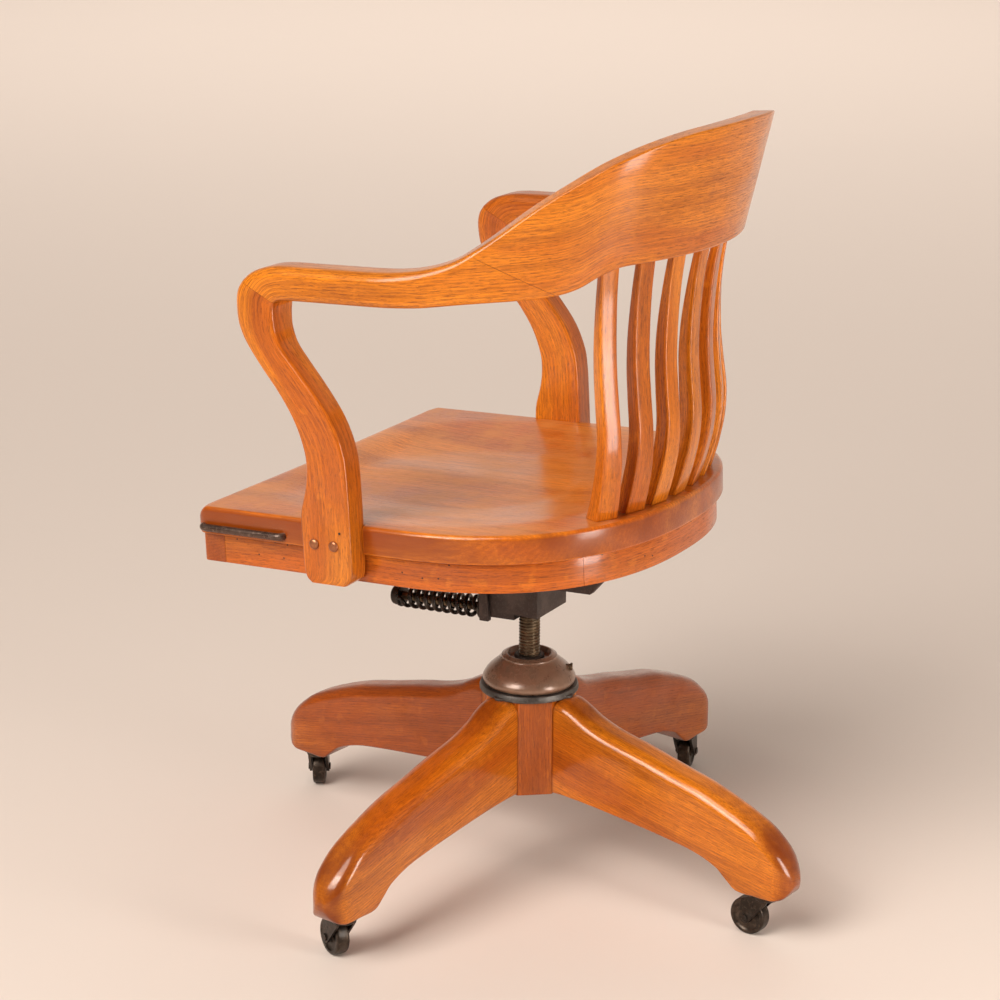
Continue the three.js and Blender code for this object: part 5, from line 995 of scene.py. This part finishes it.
def back_slats(chair):
    b, s = chair.bow, chair.seat
    turns = (33, 22.4, 11.5)
    head, foot_middle, foot_spread, swell = 250.2 * MM, 213.2 * MM, 13 * MM, 11.3 * MM
    foot_width, head_width, narrow_at = 26 * MM, 20.5 * MM, 0.33
    foot_thick, head_thick, soft = 22 * MM, 9 * MM, 2 * MM
    for k, degrees in enumerate((*turns, 0, *(-t for t in reversed(turns)))):
        place = degrees / turns[0]
        low, high = s.top + GAP, bow_station(b, s.bow_start, degrees)["at"].z + OVERRUN
        foot = foot_middle + foot_spread * place * place
        out = outward(degrees)
        side = Vector((out.y, -out.x, 0))
        stations = []
        for h, bulge, thin in SLAT_SHARES:
            radius = foot + (head - foot) * h + swell * bulge
            width = foot_width + (head_width - foot_width) * min(1, h / narrow_at)
            thick = foot_thick + (head_thick - foot_thick) * thin
            at = Vector((out.x * radius, s.bow_start + out.y * radius, low + (high - low) * h))
            stations.append(station(at - side * width / 2, side, -out,
                                    section(width, thick, soft, soft, 3, 3, 3)))
        bm = loft(rings_of(stations, chair.fine * 2))
        spread = math.degrees(math.atan(head_width / 2 / head))
        under = [bow_station(b, s.bow_start, degrees + spread * j / 2)["at"] for j in range(-2, 3)]
        up = upright((under[-1] - under[0]).cross(out).normalized())
        cut(bm, up * (min(up.dot(point) for point in under) - GAP * 2), up)
        wood(f"slat_{k + 1}", bm, "oak_frame", offset=(0.13 * k, 0.31 * k, 0.17 * k))


class CHAIR_OT_back(ChairOperator, bpy.types.Operator):
    """Builds the crest rail, the arms, their posts and the slats"""

    bl_idname = "chair.back"
    bl_label = "Back and arms"

    def build(self, chair):
        back_arms(chair, back_crest(chair))
        back_posts(chair)
        back_slats(chair)


def base_grain(bm, base):
    """The wood's fibres run down the slope of the leg; its nose shows their ends."""
    hub_share, side_face, nose_face = 0.62, 0.25, 0.65
    slope = math.atan2(base.top * hub_share - base.foot, base.reach)
    end = bm.verts.layers.float_vector.new("end")
    layer = bm.verts.layers.float_vector["grain"]
    bm.normal_update()
    for v in bm.verts:
        r, z = -v.co.y, v.co.z
        v[end] = (within((abs(v.normal.y) - side_face) / (nose_face - side_face)), 0, 0)
        v[layer] = (v.co.x, r * math.sin(slope) + z * math.cos(slope),
                    r * math.cos(slope) - z * math.sin(slope))


class CHAIR_OT_base(ChairOperator, bpy.types.Operator):
    """Builds the legs and the hub"""

    bl_idname = "chair.base"
    bl_label = "Base"

    def build(self, chair):
        base = chair.base
        under = 3 * MM
        for i in range(4):
            stations = []
            for k, (r, top, low, width) in enumerate(LEG_SHARES):
                reach = r * base.reach if k else base.hub + GAP
                w, z0, z1 = base.width * width, low * base.foot, top * base.top
                stations.append(station((-w / 2, -reach, z0), (1, 0, 0), UP,
                                        section(w, z1 - z0, under, base.edge, 6, 4, 8)))
            bm = loft(rings_of(stations, chair.fine))
            base_grain(bm, base)
            # The far two legs take the darker copy of the base oak, which is painted shade.
            wood(f"leg_{i + 1}", bm, "oak_base" if i < 2 else "oak_far_painted_shade",
                 (0.17 * i, 0.4 * i, 0.3 * i),
                 Matrix.Rotation(math.radians(base.turn + 90 * i), 4, "Z"), "base")
        axes = Matrix.Rotation(-math.radians(base.turn), 3, "Z")
        wood("hub_block", from_node("hub_block", 1.2 * MM, axes), "oak_base",
             (0.31, 0.11, 0.5), LEVEL, "base", even=True)


def head_thread():
    """The spindle: one thread's profile wound up its length, over a plain core."""
    pitch, outer, root, slant = 3.6 * MM, 12 * MM, 10.3 * MM, 0.2 * MM
    foot, top, head, turns = 137.5 * MM, 304.5 * MM, 333.5 * MM, 32
    low, tip = top - pitch * turns, outer - 0.15 * MM
    profile = [(root, 0), (root + slant, 0.12), (tip, 0.4), (outer, 0.45), (outer, 0.55),
               (tip, 0.6), (root + slant, 0.88), (root, 1)]
    bm = turned([(r, low + pitch * z) for r, z in profile], 32, turns=turns - 1, pitch=pitch)
    piece("spindle_thread", bm, "steel", "column", [], angle=70)
    slim, core = root - 0.1 * MM, root - 0.02 * MM
    bm = turned([(0, foot), (slim, foot), (slim, low + pitch * 1.2), (core, low + pitch * 1.2),
                 (core, top - pitch), (outer, top - pitch * 0.6), (outer, head), (0, head)])
    piece("spindle_core", bm, "steel", "column", ["spindle"])


class CHAIR_OT_head(ChairOperator, bpy.types.Operator):
    """Builds the flange, the dome and the screw spindle"""

    bl_idname = "chair.head"
    bl_label = "Swivel head"

    def build(self, chair):
        foot, radius, height = 218.9 * MM, 52.2 * MM, 33.8 * MM
        bore, neck, below, floor = 12.3 * MM, 22 * MM, foot - 22 * MM, foot + 27.8 * MM
        profile = [(bore, below), (neck, below), (neck, foot)]
        profile += [(r * radius, foot + z * height) for r, z in DOME_SHARES]
        profile += [(0.462 * radius, foot + 0.96 * height), (0.45 * radius, floor + 1 * MM),
                    (0.435 * radius, floor), (bore, floor), (bore, below)]
        piece("dome_shell", turned(profile, 96), "bronze", "dome", ["dome_nut"])
        copies("metal", HEAD_COPIES)
        head_thread()


def tilt_spring():
    """One wire wound round the bolt, its ends straight on to washer and cap."""
    fork_face, fork_thick, washer_thick = -49 * MM, 12 * MM, 2.7 * MM
    rear = fork_face - fork_thick - GAP - washer_thick - GAP
    level, length, travel = 296.4 * MM, 105 * MM, 18.4 * MM
    radius, thick, curls, steps = 10.9 * MM, 2.5 * MM, 9, 28
    straight, count = thick * 2, curls * steps
    line = [Vector((radius, rear, 0)), Vector((radius, rear - straight + thick, 0))]
    for n in range(3, count - 2):
        a = math.tau * n / steps
        line.append(Vector((radius * math.cos(a), rear - straight - (length - 2 * straight) * n / count,
                            radius * math.sin(a))))
    line += [Vector((radius, rear - length + straight - thick, 0)), Vector((radius, rear - length, 0))]

    def axes(p, along):
        out = Vector((p.x, 0, p.z))
        out = (out - along * out.dot(along)).normalized()
        return out, along.cross(out)

    coil = piece("tilt_spring_wire", wire(line, thick, 14, level, axes), "spring", "column",
                 ["tilt_spring"], LEANED, angle=60)
    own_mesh(coil)


def tilt_screws(chair):
    """Domed screw heads on the posts, and a pin hole in the near one."""
    out = chair.bow.arm_out + GAP
    head, rise, shank, end = 5.6 * MM, 3 * MM, 3 * MM, out - 25 * MM
    profile = [(0, end), (shank, end), (shank, out), (head, out)]
    for a in (0, 15, 30, 45, 60, 75):
        a = math.radians(a)
        profile.append((head * math.cos(a), out + rise * (0.25 + 0.75 * math.sin(a))))
    profile.append((0, out + rise))
    level, places = 439 * MM, (-104.5 * MM, -80.5 * MM)
    for side, name in ((1, "left"), (-1, "right")):
        for k, y in enumerate(places):
            node = f"post_screw_{name}_{k + 1}"
            piece(f"{node}_head", turned(profile, 40, tilt_sideways(side, y, level)), "copper",
                  "seat", [node])
    hole, face, below, hole_y, hole_z = 1.4 * MM, out - GAP * 0.5, out - 2 * MM, -72.5 * MM, 453.5 * MM
    disc = turned([(0, below), (hole, below), (hole, face), (0, face)], 24,
                  tilt_sideways(1, hole_y, hole_z))
    piece("post_hole", disc, "iron", "seat", [])


def tilt_sideways(side, y, z):
    """The place of a turned piece that points out of the chair's side."""
    return (LEANED @ Matrix.Translation((0, y, z)) @ Matrix.Rotation(math.radians(90 * side), 4, "Y"))


def tilt_rod(chair):
    """The iron rod along the board's edge, both ends turned into the wood."""
    x, end = chair.seat.half + 4.5 * MM, chair.seat.half - 14 * MM
    front, rear, level = -263.5 * MM, -160 * MM, 434.5 * MM
    bend, thick = 6 * MM, 4 * MM
    corners = [Vector((*c, 0)) for c in ((end, front), (x, front), (x, rear), (end, rear))]
    line = [corners[0]]
    for before, c, after in zip(corners, corners[1:], corners[2:]):
        a = c + (before - c).normalized() * bend
        b = c + (after - c).normalized() * bend
        line += [a * (1 - t) ** 2 + c * 2 * t * (1 - t) + b * t * t
                 for t in (0, 0.15, 0.3, 0.45, 0.6, 0.75, 0.88, 1)]
    line.append(corners[3])
    bm = wire(line, thick, 20, level, lambda p, along: (along.cross(UP), UP))
    piece("edge_rod_iron", bm, "rod", "seat", ["edge_rod"], LEANED)


class CHAIR_OT_tilt(ChairOperator, bpy.types.Operator):
    """Builds the yoke, the seat irons and the tilt spring"""

    bl_idname = "chair.tilt"
    bl_label = "Tilt mechanism"

    def build(self, chair):
        copies("metal", TILT_COPIES)
        tilt_spring()
        tilt_screws(chair)
        tilt_rod(chair)


class CHAIR_OT_casters(ChairOperator, bpy.types.Operator):
    """Builds the four casters"""

    bl_idname = "chair.casters"
    bl_label = "Casters"

    def build(self, chair):
        base = chair.base
        radius, half, crown = base.wheel, 7.5 * MM, 2.5 * MM
        profile = [(r * MM, -z * half) for r, z in WHEEL_SIDE]
        for a in (25, 50, 75, 90):
            a = math.radians(a)
            profile.append((radius - crown + crown * math.sin(a), -half + crown - crown * math.cos(a)))
        profile += [(r, -z) for r, z in reversed(profile)]
        profile.append(profile[0])
        for i, trail in enumerate((-28, -7.7, -77, -60)):
            spot = outward(180 - base.turn - 90 * i) * base.stem
            place = (Matrix.Translation(spot) @ Matrix.Rotation(math.radians(trail - 90), 4, "Z")
                     @ Matrix.Translation((base.trail, 0, base.wheel))
                     @ Matrix.Rotation(math.radians(-90), 4, "X"))
            node = f"caster_wheel_{i + 1}"
            piece(f"{node}_iron", turned(profile, 64, place), "caster", f"wheel_{i + 1}", [node])
            copies("iron", ((f"caster_horn_{i + 1}", "caster", f"horn_{i + 1}", "iron", 0.6),
                            (f"caster_plate_{i + 1}", "caster", "base", "iron", 0.6)))


def stage_floor():
    """A round floor that curves up far away into a plain wall."""
    near, flat, bend, wall = 8, 18, 8, 16
    profile = [(0, 0), (near, 0), (flat, 0), *arc(flat, bend, bend, -90, 0, 15)[1:], (flat + bend, wall)]
    piece("floor", turned(profile, 96), "floor", None, None)


def stage_lights(light):
    world = bpy.data.worlds.new("Sky")
    world.use_nodes = True
    sky = world.node_tree.nodes["Background"]
    sky.inputs["Color"].default_value = (1.0, 0.95, 0.9, 1)
    sky.inputs["Strength"].default_value = light.sky
    bpy.context.scene.world = world
    sun = bpy.data.lights.new("Window", "SUN")
    sun.energy = light.window
    sun.angle = math.radians(36)
    sun.color = (1.0, 0.96, 0.92)
    stage_lamp(sun, (1.84, -0.49, 2.9), (0, 0, 0.45))
    for name, power, size, place, aim in (
            ("Left", light.left, (1.5, 1.2), (2.35, -0.55, 1.8), (0, 0, 0.45)),
            ("Right", light.right, (0.42, 1.0), (0.3, 1.68, 0.58), (0, 0, 0.6)),
            ("Wall", light.wall, (12.0, 7.0), (-9.2, -5.2, 3.5), (0, 0, 0.5)),
            ("Back", light.back, (8.0, 8.0), (-7.0, -4.0, 5.0), (-7.0, -4.01, 0))):
        box = bpy.data.lights.new(name, "AREA")
        box.energy = power
        box.shape = "RECTANGLE"
        box.size, box.size_y = size
        box.color = (1.0, 0.97, 0.93)
        stage_lamp(box, place, aim, name != "Back")


def stage_lamp(light, place, aim, mirrored=True):
    """Places a light out of the camera's sight and, if not mirrored, out of reflections."""
    obj = add(light.name, light)
    obj.location = place
    obj.visible_camera = False
    obj.visible_glossy = mirrored
    obj.rotation_euler = (Vector(aim) - Vector(place)).to_track_quat("-Z", "Y").to_euler()


def stage_camera(c):
    data = bpy.data.cameras.new("Photo camera")
    data.lens = c.lens
    data.sensor_width = 36
    data.sensor_fit = "HORIZONTAL"
    obj = add("Photo camera", data)
    place = Matrix.Rotation(c.azimuth, 4, "Z") @ Vector((0, -c.distance, c.height))
    obj.matrix_world = (Matrix.Translation(place) @ Matrix.Rotation(c.azimuth - c.yaw, 4, "Z")
                        @ Matrix.Rotation(math.pi / 2 - c.pitch, 4, "X")
                        @ Matrix.Rotation(c.roll, 4, "Z"))
    bpy.context.scene.camera = obj


class CHAIR_OT_stage(ChairOperator, bpy.types.Operator):
    """Makes the floor, the lights and the camera"""

    bl_idname = "chair.stage"
    bl_label = "Stage"

    def build(self, chair):
        stage_floor()
        stage_lights(chair.light)
        stage_camera(chair.camera)
        view = bpy.context.scene.view_settings
        view.view_transform = "Standard"


OPERATORS = [CHAIR_OT_materials, CHAIR_OT_seat, CHAIR_OT_back, CHAIR_OT_base, CHAIR_OT_head,
             CHAIR_OT_tilt, CHAIR_OT_casters, CHAIR_OT_stage]


class CHAIR_PT_panel(bpy.types.Panel):
    """The chair's panel in the sidebar"""

    bl_idname = "CHAIR_PT_panel"
    bl_label = "Swivel chair"
    bl_space_type = "VIEW_3D"
    bl_region_type = "UI"
    bl_category = "Chair"

    def draw(self, context):
        chair = context.scene.chair
        for group in (chair.seat, chair.bow, chair.base, chair.look, chair.light, chair.camera):
            box = self.layout.box()
            for name in group.__annotations__:
                box.prop(group, name)
        self.layout.prop(chair, "fine")
        for operator in OPERATORS:
            self.layout.operator(operator.bl_idname)


CLASSES = [ChairSeatSizes, ChairBowSizes, ChairBaseSizes, ChairLook, ChairLight, ChairCamera,
           ChairSettings, *OPERATORS, CHAIR_PT_panel]


def register():
    for cls in CLASSES:
        bpy.utils.register_class(cls)
    bpy.types.Scene.chair = PointerProperty(type=ChairSettings)


def unregister():
    del bpy.types.Scene.chair
    for cls in reversed(CLASSES):
        bpy.utils.unregister_class(cls)


def main():
    register()
    for operator in OPERATORS:
        name = operator.bl_idname.split(".")[1]
        if getattr(bpy.ops.chair, name)() != {"FINISHED"}:
            raise RuntimeError(f"chair.{name} did not finish")


if __name__ == "__main__":
    main()
